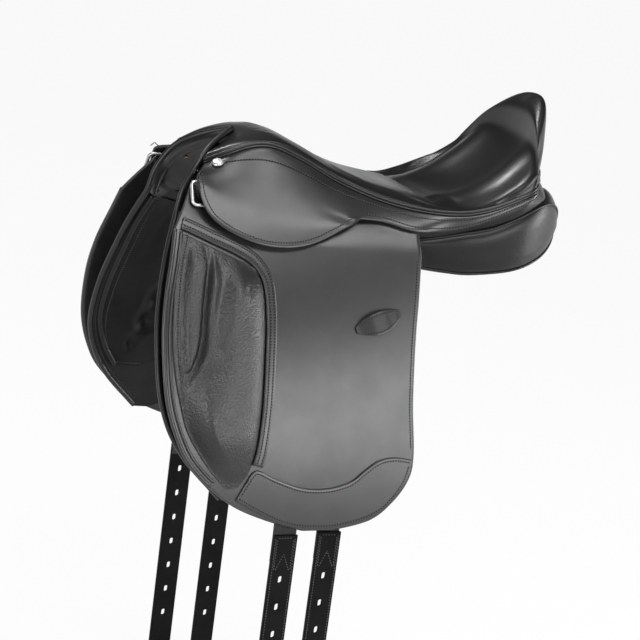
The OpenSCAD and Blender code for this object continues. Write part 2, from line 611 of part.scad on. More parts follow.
module near_bar_catch() {
    color(steel) at_bar() difference() {
        union() {
            translate([pin_u, 0, tongue_in]) cylinder(d = bar_height - 5, h = tongue_out - tongue_in);
            block(pin_u, pin_u + catch_length - 3, -3, 3, tongue_in, tongue_out);
            translate([pin_u + catch_length - 3, 0, tongue_in]) cylinder(d = 8, h = tongue_out - tongue_in);
        }
        translate([pin_u, 0, tongue_in - 1]) cylinder(d = catch_pin_d + 2 * running, h = bar_thickness);
    }
}
module near_catch_pin() {
    color(steel) at_bar() translate([pin_u, 0, bar_in]) cylinder(d = catch_pin_d, h = bar_thickness);
}

// Dee ring for a breastplate, its rear bar held in a leather chape on the tree's side
dee_place = [-293, 84];
dee_bend = 5;
dee_w = 1.2;
module at_dee() {
    multmatrix(frame_at(dee_place[0], dee_place[1])) translate([0, 0, dee_w]) children();
}
module dee_bar(length, along_u) {
    rotate(along_u ? [0, 90, 0] : [90, 0, 0]) cylinder(d = dee_wire, h = length, center = true);
}
module near_dee() {
    u = dee_width / 2 - dee_bend;
    v = dee_height / 2 - dee_bend;
    color(steel) at_dee() {
        for (s = [-1, 1]) {
            translate([s * dee_width / 2, 0, 0]) dee_bar(2 * v, false);
            translate([0, s * dee_height / 2, 0]) dee_bar(2 * u, true);
        }
        for (q = [0:3]) translate([(q == 0 || q == 3 ? 1 : -1) * u, (q < 2 ? 1 : -1) * v, 0]) rotate(90 * q)
            rotate_extrude(angle = 90) translate([dee_bend, 0]) circle(d = dee_wire);
    }
}
module near_dee_chape() {
    sleeve = dee_wire + 2 * running + 3;
    deep = (tree_side_out + 1) * 0.86 - dee_w;
    color(strap_black) at_dee() translate([dee_width / 2, 0, 0]) difference() {
        union() {
            rotate([90, 0, 0]) cylinder(d = sleeve, h = 12, center = true);
            block(0, sleeve / 2, -6, 6, deep, 0);
            block(0, 18, -6, 6, deep, deep + 2.5);
        }
        rotate([90, 0, 0]) cylinder(d = dee_wire + 2 * running, h = 14, center = true);
    }
}

// Domed stud that pins the skirt to the tree's head
stud_share = [0.045, 0.3];
module near_stud() {
    u = stud_share[0];
    t = stud_share[1];
    p = band_at(u, t);
    a = (band_at(u + 0.01, t) - p) / norm(band_at(u + 0.01, t) - p);
    w = cross(a, p - band_at(u, t + 0.05));
    c = w / norm(w);
    b = cross(c, a);
    place = [[a[0], b[0], c[0], p[0]], [a[1], b[1], c[1], p[1]], [a[2], b[2], c[2], p[2]], [0, 0, 0, 1]];
    color(steel) multmatrix(place)
        translate([0, 0, 0.6]) rotate_extrude() polygon([[0, 0], [stud_d / 2, 0], [stud_d / 2, 0.8],
            [stud_d / 2 - 0.8, 1.8], [stud_d / 2 - 2.4, 2.5], [0, 3]]);
}

// Off side, a mirror image of the near side

module off_tree_side() {
    off_side() near_tree_side();
}
module off_tree_rail() {
    off_side() near_tree_rail();
}
module off_skirt_band() {
    off_side() near_skirt_band();
}
module off_skirt() {
    off_side() near_skirt();
}
module off_flap_head() {
    off_side() near_flap_head();
}
module off_flap() {
    off_side() near_flap();
}
module off_knee_block() {
    off_side() near_knee_block();
}
module off_flap_patch() {
    off_side() near_flap_patch();
}
module off_keeper() {
    off_side() near_keeper();
}
module off_sweat_flap() {
    off_side() near_sweat_flap();
}
module off_lining() {
    off_side() near_lining();
}
module off_panel() {
    off_side() near_panel();
}
module off_girth_webs() {
    off_side() near_girth_webs();
}
module off_point_web() {
    off_side() near_point_web();
}
module off_point_strap() {
    off_side() near_point_strap();
}
module off_balance_web() {
    off_side() near_balance_web();
}
module off_balance_strap() {
    off_side() near_balance_strap();
}
module off_stirrup_bar() {
    off_side() near_stirrup_bar();
}
module off_bar_rivets() {
    off_side() near_bar_rivets();
}
module off_bar_catch() {
    off_side() near_bar_catch();
}
module off_catch_pin() {
    off_side() near_catch_pin();
}
module off_dee() {
    off_side() near_dee();
}
module off_dee_chape() {
    off_side() near_dee_chape();
}
module off_stud() {
    off_side() near_stud();
}

tree_head();
tree_cantle();
gullet_plate();
seat_webs();
seat_foam();
seat_cover();
seat_welt();
near_tree_side();
near_tree_rail();
near_skirt_band();
near_skirt();
near_flap_head();
near_flap();
near_knee_block();
near_flap_patch();
near_keeper();
near_sweat_flap();
near_lining();
near_panel();
near_girth_webs();
near_point_web();
near_point_strap();
near_balance_web();
near_balance_strap();
near_stirrup_bar();
near_bar_rivets();
near_bar_catch();
near_catch_pin();
near_dee();
near_dee_chape();
near_stud();
off_tree_side();
off_tree_rail();
off_skirt_band();
off_skirt();
off_flap_head();
off_flap();
off_knee_block();
off_flap_patch();
off_keeper();
off_sweat_flap();
off_lining();
off_panel();
off_girth_webs();
off_point_web();
off_point_strap();
off_balance_web();
off_balance_strap();
off_stirrup_bar();
off_bar_rivets();
off_bar_catch();
off_catch_pin();
off_dee();
off_dee_chape();
off_stud();
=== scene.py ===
import math

import bmesh
import bpy
import numpy as np
from mathutils import Matrix, Vector


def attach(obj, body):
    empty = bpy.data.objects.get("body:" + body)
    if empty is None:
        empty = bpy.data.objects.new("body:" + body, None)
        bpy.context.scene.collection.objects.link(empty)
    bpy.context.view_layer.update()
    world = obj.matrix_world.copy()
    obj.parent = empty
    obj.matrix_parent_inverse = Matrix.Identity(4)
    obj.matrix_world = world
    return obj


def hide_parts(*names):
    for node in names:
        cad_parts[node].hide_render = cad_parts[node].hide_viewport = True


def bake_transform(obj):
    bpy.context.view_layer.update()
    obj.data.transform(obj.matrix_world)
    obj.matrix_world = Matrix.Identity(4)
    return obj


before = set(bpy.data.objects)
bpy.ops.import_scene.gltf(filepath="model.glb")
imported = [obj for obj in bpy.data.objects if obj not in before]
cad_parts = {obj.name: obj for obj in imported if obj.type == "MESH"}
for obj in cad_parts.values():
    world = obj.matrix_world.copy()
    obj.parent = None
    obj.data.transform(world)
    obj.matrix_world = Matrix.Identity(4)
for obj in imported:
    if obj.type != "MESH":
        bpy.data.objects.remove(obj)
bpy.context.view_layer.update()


# The tree: head, rails, cantle and points of moulded beech laminate, glued up over a former.
# It is screwed together under the seat and carries everything else on the saddle.
class Wire:
    """One socket of a finish. Sums on it add Math nodes, and node() adds any other node."""

    def __init__(self, tree, socket=None):
        self.tree, self.socket = tree, socket

    def node(self, kind, settings=None, sockets=None, out=0):
        made = self.tree.nodes.new(kind)
        for name, value in (settings or {}).items():
            setattr(made, name, value)
        for key, value in (sockets or {}).items():
            if isinstance(value, Wire):
                self.tree.links.new(value.socket, made.inputs[key])
            else:
                made.inputs[key].default_value = value
        return Wire(self.tree, made.outputs[out] if len(made.outputs) else None)

    def math(self, operation, *values):
        return self.node("ShaderNodeMath", {"operation": operation}, dict(enumerate(values)))

    def __add__(self, other):
        return self.math("ADD", self, other)

    def __sub__(self, other):
        return self.math("SUBTRACT", self, other)

    def __mul__(self, other):
        return self.math("MULTIPLY", self, other)

    def __radd__(self, other):
        return self.math("ADD", other, self)

    def __rsub__(self, other):
        return self.math("SUBTRACT", other, self)

    def __rmul__(self, other):
        return self.math("MULTIPLY", other, self)

    def between(self, low, high):
        return self.node("ShaderNodeMapRange", {"interpolation_type": "SMOOTHSTEP"}, {0: self, 1: low, 2: high})


def new_finish(name):
    """A bare material, the wire to make its nodes on, and the place on the piece in metres."""
    finish = bpy.data.materials.new(name)
    finish.use_nodes = True
    finish.node_tree.nodes.clear()
    wire = Wire(finish.node_tree)
    return finish, wire, wire.node("ShaderNodeTexCoord", out="Object")


def grey(value):
    return (value, value, value * 1.02, 1.0)


def blend_colours(wire, share, first, second):
    return wire.node("ShaderNodeMix", {"data_type": "RGBA"}, {0: share, 6: first, 7: second}, out=2)


def noise(place, scale, detail, **more):
    return place.node("ShaderNodeTexNoise", {}, {"Vector": place, "Scale": scale, "Detail": detail, **more}, out="Fac")


def bands(place, way, scale, **more):
    return place.node("ShaderNodeTexWave", {"bands_direction": way},
                      {"Vector": place, "Scale": scale, **more}, out="Fac")


def close_finish(wire, colour, rough, height, depth, **uniform):
    bump = wire.node("ShaderNodeBump", {}, {"Height": height, "Distance": depth})
    sockets = {"Base Color": colour, "Roughness": rough, "Normal": bump}
    sockets.update({name.replace("_", " "): value for name, value in uniform.items()})
    shader = wire.node("ShaderNodeBsdfPrincipled", {}, sockets)
    wire.node("ShaderNodeOutputMaterial", {}, {"Surface": shader})


laminate, wire, place = new_finish("beech_laminate")
plies = bands(place, "Z", 260.0, Distortion=2.2, Detail=2.0)
fibres = noise(place, 90.0, 6.0)
close_finish(wire, blend_colours(wire, plies * 0.6 + fibres * 0.4, (0.19, 0.10, 0.05, 1), (0.34, 0.21, 0.11, 1)),
             0.42 + fibres * 0.25, plies * 0.5 + fibres * 0.5, 0.0004)


def finish_nodes(finish, *names):
    for name in names:
        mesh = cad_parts[name].data
        mesh.materials.clear()
        mesh.materials.append(finish)


finish_nodes(laminate, "tree_head", "tree_cantle", "near_tree_side", "off_tree_side",
             "near_tree_rail", "off_tree_rail")


# The gullet plate and the stirrup bars with their rivets, catches and pins: drop-forged steel,
# bright dipped. The plate is riveted under the head, and each bar to the tree's side.
forged, wire, place = new_finish("forged_steel")
scale_marks, smudges = noise(place, 420.0, 5.0), noise(place, 45.0, 3.0)
close_finish(wire, blend_colours(wire, smudges, grey(0.30), grey(0.48)), 0.30 + smudges * 0.22,
             scale_marks, 0.00012, Metallic=1.0)
finish_nodes(forged, "gullet_plate", *[side + part for side in ("near_", "off_")
                                       for part in ("stirrup_bar", "bar_rivets", "bar_catch", "catch_pin")])


# Seat webs: two strips of woven black webbing tacked to the head and strained back to the cantle,
# which carry the foam between the rails of the tree.
def along(points, shares):
    """Points on a smooth curve through the given ones, by their share of it."""
    p = np.asarray(points, float)
    last = len(p) - 1
    u = np.clip(np.asarray(shares, float), 0, 1) * last
    i = np.minimum(u.astype(int), last - 1)
    t = (u - i)[..., None]
    a, b, c, d = p[np.maximum(i - 1, 0)], p[i], p[i + 1], p[np.minimum(i + 2, last)]
    return b + 0.5 * t * (c - a + t * (2 * a - 5 * b + 4 * c - d + t * (3 * (b - c) + d - a)))


edge_line = [(-282, 50, 119), (-258, 55, 130), (-234, 57, 140), (-212, 59, 144), (-190, 61.5, 140),
             (-158, 66, 127), (-121, 72, 109), (-76, 86, 94), (-32, 100, 86), (13, 114, 85), (45, 123, 91),
             (80, 126, 104), (114, 121, 119), (126, 99, 127), (147, 66, 131), (160, 32, 132), (164, 0, 132)]
crest_line = [(-246, 0, 132), (-238, 0, 141), (-228, 0, 144.5), (-215, 0, 147.5), (-194, 0, 150), (-160, 0, 136.5),
              (-122, 0, 119.5), (-78, 0, 104.5), (-36, 0, 95.5), (12, 0, 88), (56, 0, 96.5), (96, 0, 119.1),
              (135, 0, 160), (145, 0, 198), (166, 0, 215), (170, 0, 172), (164, 0, 132)]


def bed_at(share, turn, drop=0.0):
    """The bed under the seat: share runs from pommel to cantle, turn from edge to middle."""
    e, c = along(edge_line, share), along(crest_line, share)
    up, out = np.sin(turn) ** 0.8, np.maximum(0, np.cos(turn)) ** 0.8
    low = e[..., 2] - 8
    return np.stack([c[..., 0] + (e[..., 0] - c[..., 0]) * out * out, -(e[..., 1] - 9) * out,
                     low + (np.maximum(low, c[..., 2] - 26) - low) * up - drop], -1)


def grid_faces(rows, columns, start=0, around=False):
    return [(start + i * columns + j, start + i * columns + (j + 1) % columns,
             start + (i + 1) * columns + (j + 1) % columns, start + (i + 1) * columns + j)
            for i in range(rows - 1) for j in range(columns if around else columns - 1)]


def new_shell(name, points, faces):
    """A mesh from points in mm, with its faces turned outwards, as an object in the scene."""
    mesh = bpy.data.meshes.new(name)
    mesh.from_pydata((np.asarray(points) * 0.001).tolist(), [], [tuple(f) for f in faces])
    shell = bmesh.new()
    shell.from_mesh(mesh)
    bmesh.ops.recalc_face_normals(shell, faces=shell.faces)
    shell.to_mesh(mesh)
    shell.free()
    made = bpy.data.objects.new(name, mesh)
    bpy.context.scene.collection.objects.link(made)
    return made


def make_piece(name, finish, points, faces, rim=None):
    piece = new_shell(name, points, faces)
    piece.data.polygons.foreach_set("use_smooth", [True] * len(faces))
    if rim is not None:
        # The rim attribute carries painted light: a painted highlight on leather rims and painted shade in stitch
        # holes.
        painted_light_mask = piece.data.attributes.new("rim", "FLOAT", "POINT")
        painted_light_mask.data.foreach_set("value", np.asarray(rim, np.float32))
    piece.data.materials.append(finish)
    return piece


def of_side(side, name):
    return side + name if name[0] == "_" else name


def fit_pair(name, finish, batch, body, slot="", *nodes, fill=0.0, bend=None):
    """Make a piece for both sides and fit each. A body or node that starts with _ is that side's own."""
    points, faces, *rim = batch
    pieces = []
    for side, way in (("near", (1, 1, 1)), ("off", (1, -1, 1))):
        piece = make_piece(f"{side}_{name}", finish, np.asarray(points) * way,
                           faces if side == "near" else [f[::-1] for f in faces], *rim)
        if bend:
            of_side(side, body)
            bend[0] * way
            bend[1] * way
            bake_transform(piece)
        else:
            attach(piece, of_side(side, body))
        if nodes:
            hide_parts(*[of_side(side, node) for node in nodes])
        pieces.append(piece)
    return pieces


def cut_leather(points, faces, thickness, facing=(0, -1, 0), puff=0.6):
    """Give an open face of leather its thickness and a rounded edge, with a mask along that edge for its burnish and a
    painted edge highlight.
    """
    p = np.asarray(points, float)
    thick = np.broadcast_to(np.asarray(thickness, float), len(p))
    normals = np.zeros_like(p)
    for f in faces:
        n = np.cross(p[f[2]] - p[f[0]], p[f[-1]] - p[f[1]])
        for v in f:
            normals[v] += n
    if (normals.sum(0) * facing).sum() < 0:
        normals, faces = -normals, [f[::-1] for f in faces]
    normals /= np.maximum(np.linalg.norm(normals, axis=1), 1e-9)[:, None]
    edges = {(f[k], f[(k + 1) % len(f)]) for f in faces for k in range(len(f))}
    ahead = {a: b for a, b in edges if (b, a) not in edges}
    behind = {b: a for a, b in ahead.items()}
    rim = list(ahead)
    run = np.array([p[ahead[v]] - p[behind[v]] for v in rim])
    out = np.cross(run, normals[rim])
    out /= np.maximum(np.linalg.norm(out, axis=1), 1e-9)[:, None]
    half = thick[rim][:, None] / 2
    outer, inner = p.copy(), p - normals * thick[:, None]
    outer[rim] -= out * half * puff
    inner[rim] -= out * half * puff
    middle = outer[rim] - normals[rim] * half
    loops = [middle + normals[rim] * half * math.cos(a) + out * half * puff * math.sin(a)
             for a in (math.pi / 4, math.pi / 2, 3 * math.pi / 4)]
    count, around = len(p), len(rim)
    seat = {v: k for k, v in enumerate(rim)}
    rows = [rim] + [[2 * count + s * around + k for k in range(around)] for s in range(3)] + [[v + count for v in rim]]
    walls = [(rows[s][k], rows[s + 1][k], rows[s + 1][seat[ahead[v]]], rows[s][seat[ahead[v]]])
             for s in range(4) for k, v in enumerate(rim)]
    # Mask for the painted edge highlight: full on the rounded rim loops, partial on the rim's edge points.
    painted_light_mask = np.concatenate([np.zeros(2 * count), np.ones(3 * around)])
    painted_light_mask[rim] = 0.7
    return (np.concatenate([outer, inner] + loops),
            list(faces) + [tuple(v + count for v in f[::-1]) for f in faces] + walls, painted_light_mask)


def cut_sheet(grid, thickness, **more):
    return cut_leather(grid.reshape(-1, 3), grid_faces(*grid.shape[:2]), thickness, **more)


webbing, wire, place = new_finish("woven_webbing")
weave = bands(place, "X", 150.0, Distortion=0.6) * 0.5 + bands(place, "Z", 190.0, Distortion=0.6) * 0.5
close_finish(wire, blend_colours(wire, weave, grey(0.010), grey(0.034)), 0.70 + weave * 0.2, weave, 0.0005)

shares, turns = np.meshgrid(np.linspace(4, 27, 60) / 32 * 0.985,
                            np.radians(np.linspace(90 * 5 / 7, 90 * 6 / 7, 9)), indexing="ij")
strip = cut_sheet(bed_at(shares, turns, 0.5), 1.4, facing=(0, 0, 1))
fit_pair("seat_webbing", webbing, strip[:2], "saddle", "webbing", "seat_webs")


# Panels: two leather cushions stuffed with wool, from the pommel to a deep gusset at the rear.
# They are laced to the tree along their tops, piped along the gusset, and bear on the horse's back.
def smooth(t):
    c = np.clip(t, 0, 1)
    return c * c * (3 - 2 * c)


def swell(t, shoulder=0.3):
    return smooth(np.minimum(t, 1 - t) / shoulder)


widest = 195.0


def side_y(x, z):
    """How far the face of the flap stands from the middle. It flares out below the tree."""
    s = (x + 277) / 244
    left = np.maximum(0, 1 - np.maximum(0, 118 - 64 * s - z) / 400)
    return widest - (130 - 53 * s) * left * left


def on_side(x, z, off):
    """Points that stand off the near flap's face by a distance in mm."""
    x, z = np.broadcast_arrays(np.asarray(x, float), np.asarray(z, float))
    return np.stack([x, -(side_y(x, z) + off), z], -1)


def plump(points, faces, held, cap):
    """Blow a stuffed cover out with cloth pressure, no point further than cap; held points stay."""
    start = np.asarray(points, float) * 0.001
    cover = new_shell("stuffing", points, faces)
    mesh = cover.data
    cover.vertex_groups.new(name="held").add([int(v) for v in held], 1.0, "REPLACE")
    cloth = cover.modifiers.new("cover", "CLOTH")
    cloth.settings.quality = 5
    cloth.settings.mass = 0.3
    cloth.settings.tension_stiffness = cloth.settings.compression_stiffness = 15
    cloth.settings.bending_stiffness = 0.5
    cloth.settings.use_pressure = True
    cloth.settings.uniform_pressure_force = 4
    cloth.settings.effector_weights.gravity = 0
    cloth.settings.vertex_group_mass = "held"
    cloth.point_cache.frame_start, cloth.point_cache.frame_end = 1, 20
    for step in range(1, 21):
        bpy.context.scene.frame_set(step)
    shown = cover.evaluated_get(bpy.context.evaluated_depsgraph_get()).data
    moved = np.empty(len(start) * 3, np.float32)
    shown.vertices.foreach_get("co", moved)
    bpy.context.scene.frame_set(1)
    bpy.data.objects.remove(cover)
    bpy.data.meshes.remove(mesh)
    step = (moved.reshape(-1, 3) - start) * 1000
    reach = np.linalg.norm(step, axis=1)[:, None]
    return points + step * np.minimum(1, cap / np.maximum(reach, 1e-6))


def leather(name, dark, light, rough, pores, depth, clouds=20.0, crease=0.0, crease_depth=0.0, shine=0.5):
    """A dyed hide: cloudy dye, pores at their own scale, and burnished rims painted lighter as a painted edge
    highlight.
    """
    finish, wire, place = new_finish(name)
    cloud = noise(place, clouds, 5.0, Roughness=0.62).between(0.3, 0.7)
    pebble = wire.node("ShaderNodeTexVoronoi", {"feature": "SMOOTH_F1"},
                       {"Vector": place, "Scale": pores, "Smoothness": 0.4}, out="Distance")
    fine = noise(place, pores * 2.7, 2.0)
    height = pebble * -0.7 + fine * 0.3
    if crease:
        flat = wire.node("ShaderNodeMapping", {"vector_type": "POINT"},
                         {"Vector": place, "Scale": (crease * 0.35, crease, crease)})
        folds = noise(flat, 1.0, 4.0, Roughness=0.6)
        height = height + folds.between(0.35, 0.65) * crease_depth
    rim = wire.node("ShaderNodeAttribute", {"attribute_name": "rim"}, out="Fac")
    hide = blend_colours(wire, cloud, grey(dark), grey(light))
    # Rims are painted lighter here as a painted highlight along the rounded edge.
    colour = blend_colours(wire, rim * (0.35 + fine * 0.5), hide, grey(light * 1.5 + 0.01))
    close_finish(wire, colour, rough[1] - (rough[1] - rough[0]) * cloud - rim * 0.08, height, depth,
                 Specular_IOR_Level=shine)
    return finish


panel_hide = leather("panel_hide", 0.005, 0.009, (0.30, 0.38), 900.0, 0.00014, shine=0.24)
gullet_half = 33.0
# Stations from front to rear: x, lean, outer edge, heights of the top and foot at both edges, crown.
panel_rows = [(-246, 0.7, 48, 99, 88, 72, 82, 2), (-226, 0.6, 57, 103, 82, 46, 67, 3),
              (-172, 0.35, 76, 112, 76, 23, 50, 4), (-112, 0.1, 90, 90.5, 60, 12, 34, 5),
              (-62, 0, 97, 75, 50, 6, 25, 7), (-15, 0, 106, 69, 47, 2, 20, 6), (34, 0, 118, 62, 60, 0, 16, 6),
              (72, 0, 123, 70, 72, 4, 18, 5), (108, 0, 121, 86, 88, 8, 21, 6), (140, 0, 107, 106, 102, 15, 27, 10),
              (167, 0, 89, 106, 96, 24, 36, 10), (185, 0, 71, 88, 80, 39, 47, 6), (193, 0, 54, 69, 65, 50, 54, 2)]


def toe_in(x, z):
    """How far the inner leathers turn in towards the horse's shoulder at the front."""
    return 26 * smooth((-235 - x) / 100) * (1 - 0.6 * smooth((-20 - z) / 130))


def panel_ring(row, count, tuck=0.0):
    x, lean, outer, top_in, top_out, foot_out, foot_in, crown = row
    breadth = outer - gullet_half
    pts = np.array([(gullet_half + 2, top_in - 5), ((gullet_half + outer) / 2, (top_in + top_out) / 2 + crown),
                    (outer - 3, top_out - 1), (outer + 1, top_out + (foot_out - top_out) * 0.45),
                    (outer - 7, foot_out + 6),
                    (gullet_half + breadth * 0.55, foot_out + (foot_in - foot_out) * 0.3 - 1),
                    (gullet_half + 7, foot_in - 1), (gullet_half, (top_in + foot_in) / 2)])
    u = np.arange(count) / count * 8
    j, t = u.astype(int), (u % 1)[:, None]
    p, q, r, s = (pts[(j + k) % 8] for k in (-1, 0, 1, 2))
    ring = q + 0.5 * t * (r - p + t * (2 * p - 5 * q + 4 * r - s + t * (3 * (q - r) + s - p)))
    centre = ring.mean(0)
    ring = centre + (ring - centre) * (1 - tuck / np.maximum(np.linalg.norm(ring - centre, axis=1), 6))[:, None]
    xs = x - lean * (ring[:, 0] - gullet_half)
    inside = side_y(xs, ring[:, 1]) - 24.2 - toe_in(xs, ring[:, 1]) - tuck
    y = np.where(xs < -47, np.minimum(ring[:, 0], inside), ring[:, 0])
    return np.stack([xs, -y, ring[:, 1]], -1)


def tube_faces(rings, around):
    """Faces of a run of rings, closed at its two ends by the two points that follow them."""
    faces = grid_faces(rings, around, around=True)
    for end, tip in ((0, rings * around), ((rings - 1) * around, rings * around + 1)):
        faces += [(end + j, end + (j + 1) % around, tip) for j in range(around)]
    return faces


rows, count = 90, 48
rings = np.array([panel_ring(r, count, 2.2) for r in along(panel_rows, np.linspace(0, 1, rows))])
for turn in range(30):
    rings[52:-1] = rings[52:-1] * 0.5 + (rings[51:-2] + rings[53:]) * 0.25
points = np.concatenate([rings.reshape(-1, 3), rings[[0, -1]].mean(1)])
faces = tube_faces(rows, count)
points = plump(points, faces, list(range(count)) + [rows * count], 2.4)
fit_pair("panel_cushion", panel_hide, (points, faces), "saddle", "panel_leather", "_panel", fill=0.85)


def cord_tube(path, width, around=10):
    """A piped cord of leather along a path, closed at both ends."""
    p = np.asarray(path, float)
    run = np.gradient(p, axis=0)
    run /= np.linalg.norm(run, axis=1)[:, None]
    side = np.cross(run[0], (0.3, 0.2, 1.0))
    rings = []
    for k in range(len(p)):
        side = side - run[k] * (side @ run[k])
        side /= np.linalg.norm(side)
        lift = np.cross(run[k], side)
        a = np.arange(around) * 2 * math.pi / around
        rings.append(p[k] + width / 2 * (np.cos(a)[:, None] * side + np.sin(a)[:, None] * lift))
    return np.concatenate([np.concatenate(rings), p[[0, -1]]]), tube_faces(len(p), around)


def evenly(path, step):
    """The path again, with its points a step apart."""
    p = np.asarray(path, float)
    run = np.concatenate([[0], np.cumsum(np.linalg.norm(np.diff(p, axis=0), axis=1))])
    at = np.linspace(0, run[-1], max(2, int(run[-1] / step) + 1))
    return np.stack([np.interp(at, run, p[:, k]) for k in range(p.shape[1])], -1)


def join(*batches):
    """Several batches of points and faces as one."""
    points, faces, rim, start = [], [], [], 0
    for batch in batches:
        points.append(batch[0])
        faces += [tuple(v + start for v in f) for f in batch[1]]
        rim += list(batch[2]) if len(batch) > 2 else [0.0] * len(batch[0])
        start += len(batch[0])
    return np.concatenate(points), faces, rim


cushion = points[:rows * count].reshape(rows, count, 3)
piping = []
for line in (12, 24):
    edge = cushion[30:-2, line]
    away = edge - cushion[30:-2].mean(1)
    piping.append(cord_tube(evenly(edge + 0.6 * away / np.linalg.norm(away, axis=1)[:, None], 3), 3.2))
fit_pair("panel_piping", panel_hide, join(*piping)[:2], "saddle", "panel_leather")


# Gusset facings: a strip of panel leather on each side that closes the space between the top of
# the panel and the band round the cantle. Its upper edge is tucked behind the band and sewn.
panel_edge = [(-62, -92, 48), (-15, -102, 45), (34, -114, 58), (72, -119, 70), (108, -117, 86), (140, -100, 100),
              (158, -70, 103), (166, -38, 99), (168, 0, 96)]
tuck_edge = [(-34, -112, 62), (6, -110, 63), (42, -119, 75), (80, -123, 93), (114, -118, 109), (127, -97, 117),
             (147, -64, 120), (160, -35, 121), (164, 0, 121)]
u = np.linspace(0, 1, 80)
low, high = along(panel_edge, u), along(tuck_edge, u)
facing = np.array([low + (high - low) * t + np.array((0.3, -2.0, 0)) * math.sin(math.pi * t)
                   for t in np.linspace(0, 1, 9)])
sheet = cut_sheet(facing, 2.0, facing=(0.3, -1, 0))
fit_pair("gusset_facing", panel_hide, sheet, "saddle", "panel_leather")


# Sweat flaps: firm leather between the girth straps and the horse, nailed to the tree's sides.
# Their front edge is turned and piped, and a row of stitches runs inside it.
def side_grid(front, rear, rows, columns, off):
    """A sheet on the near side between a front and a rear line."""
    u, v = np.meshgrid(np.linspace(0, 1, rows), np.linspace(0, 1, columns), indexing="ij")
    a, b = along(front, np.linspace(0, 1, rows)), along(rear, np.linspace(0, 1, rows))
    p = a[:, None] + (b - a)[:, None] * v[..., None]
    return on_side(p[..., 0], p[..., 1], off(u, v, p[..., 0], p[..., 1]) if callable(off) else off)


def side_normal(x, z):
    along_x = on_side(x + 0.5, z, 0) - on_side(x - 0.5, z, 0)
    along_z = on_side(x, z + 0.5, 0) - on_side(x, z - 0.5, 0)
    n = np.cross(along_x, along_z)
    n /= np.linalg.norm(n, axis=-1)[..., None]
    return n * np.where(n[..., 1:2] > 0, -1, 1)


def inset(line, by):
    """A line in the side's X-Z plane moved by a distance to the right of its run."""
    p = np.asarray(line, float)
    run = np.gradient(p, axis=0)
    run /= np.linalg.norm(run, axis=1)[:, None]
    return p + by * np.stack([run[:, 1], -run[:, 0]], -1)


def stitches(path, normals, pitch=3.4, length=2.5, width=1.3):
    """Saddle stitches along a path: drawn-down loops of waxed thread between pricked awl holes, each hole a small disc
    painted near-black as painted shade.
    """
    p = np.concatenate([np.asarray(path, float), np.asarray(normals, float)], 1)
    run = np.concatenate([[0], np.cumsum(np.linalg.norm(np.diff(p[:, :3], axis=0), axis=1))])
    at = np.arange(pitch / 2, run[-1], pitch)
    mid, ahead, back, pricked = (np.stack([np.interp(at + d, run, p[:, k]) for k in range(6)], -1)
                                 for d in (0, length / 2, -length / 2, -pitch / 2))
    up = mid[:, 3:] / np.linalg.norm(mid[:, 3:], axis=1)[:, None]
    along_row = ahead[:, :3] - back[:, :3]
    along_row /= np.maximum(np.linalg.norm(along_row, axis=1), 1e-6)[:, None]
    cross = np.cross(up, along_row)
    points, faces, holes = [], [], []
    turn = np.arange(5) * 2 * math.pi / 5 + math.pi / 2
    for k in range(len(at)):
        base = len(points)
        points.append(back[k, :3] - up[k] * 0.3)
        for share in (-0.22, 0.22):
            c = mid[k, :3] + along_row[k] * share * length + up[k] * 0.18
            points += [c + cross[k] * math.cos(a) * width / 2 + up[k] * math.sin(a) * width * 0.4 for a in turn]
        points.append(ahead[k, :3] - up[k] * 0.3)
        points.append(pricked[k, :3] + up[k] * 0.16)
        points += [pricked[k, :3] + up[k] * 0.05 + 0.95 * (cross[k] * math.cos(a) + along_row[k] * math.sin(a))
                   for a in turn]
        points.append(pricked[k, :3] - up[k] * 0.5)
        # Hole discs get mask 1, which paints them near-black as the shade inside each awl hole.
        holes += [0.0] * 12 + [1.0] * 7
        for j in range(5):
            n = (j + 1) % 5
            faces += [(base, base + 1 + n, base + 1 + j), (base + 1 + j, base + 1 + n, base + 6 + n, base + 6 + j),
                      (base + 6 + j, base + 6 + n, base + 11), (base + 12, base + 13 + j, base + 13 + n),
                      (base + 18, base + 13 + n, base + 13 + j)]
    return np.array(points), faces, holes


def sew(name, body, *rows, bend=None):
    """One piece of stitching on each side, riding on that side's body or on the saddle."""
    fit_pair(name, thread, join(*rows), body, bend=bend)


def side_row(line, off, **sizes):
    """A row of stitches along a line on the side."""
    p = evenly(line, 1.5)
    return stitches(on_side(*p.T, off), side_normal(*p.T), **sizes)


thread, wire, place = new_finish("waxed_thread")
twist = bands(place, "DIAGONAL", 700.0)
pricked = wire.node("ShaderNodeAttribute", {"attribute_name": "rim"}, out="Fac")
waxed = blend_colours(wire, twist, grey(0.045), grey(0.085))
# Stitch holes are painted near-black: painted shade in the awl holes.
close_finish(wire, blend_colours(wire, pricked, waxed, grey(0.0006)), 0.45 + twist * 0.15 + pricked * 0.4,
             twist, 0.00012, Specular_IOR_Level=0.25)

sweat_hide = leather("sweat_flap_hide", 0.006, 0.010, (0.42, 0.52), 1100.0, 0.00010, shine=0.2)
sweat_front = [(-312, 58), (-325, 16), (-334, -25.6), (-340, -71), (-339, -130.6), (-325, -176.1), (-303, -210.2),
               (-281, -232.9), (-261, -252.8)]
sweat_rear = [(-61, 42), (-60, 0), (-60, -45.4), (-62, -90.9), (-65, -136.3), (-75, -178.9), (-107, -204.5),
              (-167, -224.4), (-239, -254.2)]
sewn = cut_sheet(side_grid(sweat_front, sweat_rear, 60, 64, lambda u, v, x, z: -20.8 - toe_in(x, z)), 3.0)
fit_pair("sweat_leather", sweat_hide, sewn, "saddle", "panel_leather", "_sweat_flap")
line = evenly(inset(along(sweat_front, np.linspace(0.03, 0.97, 90)), -9), 1.5)
sew("sweat_stitching", "saddle", stitches(on_side(*line.T, -23.8 - toe_in(*line.T)), -side_normal(*line.T)))


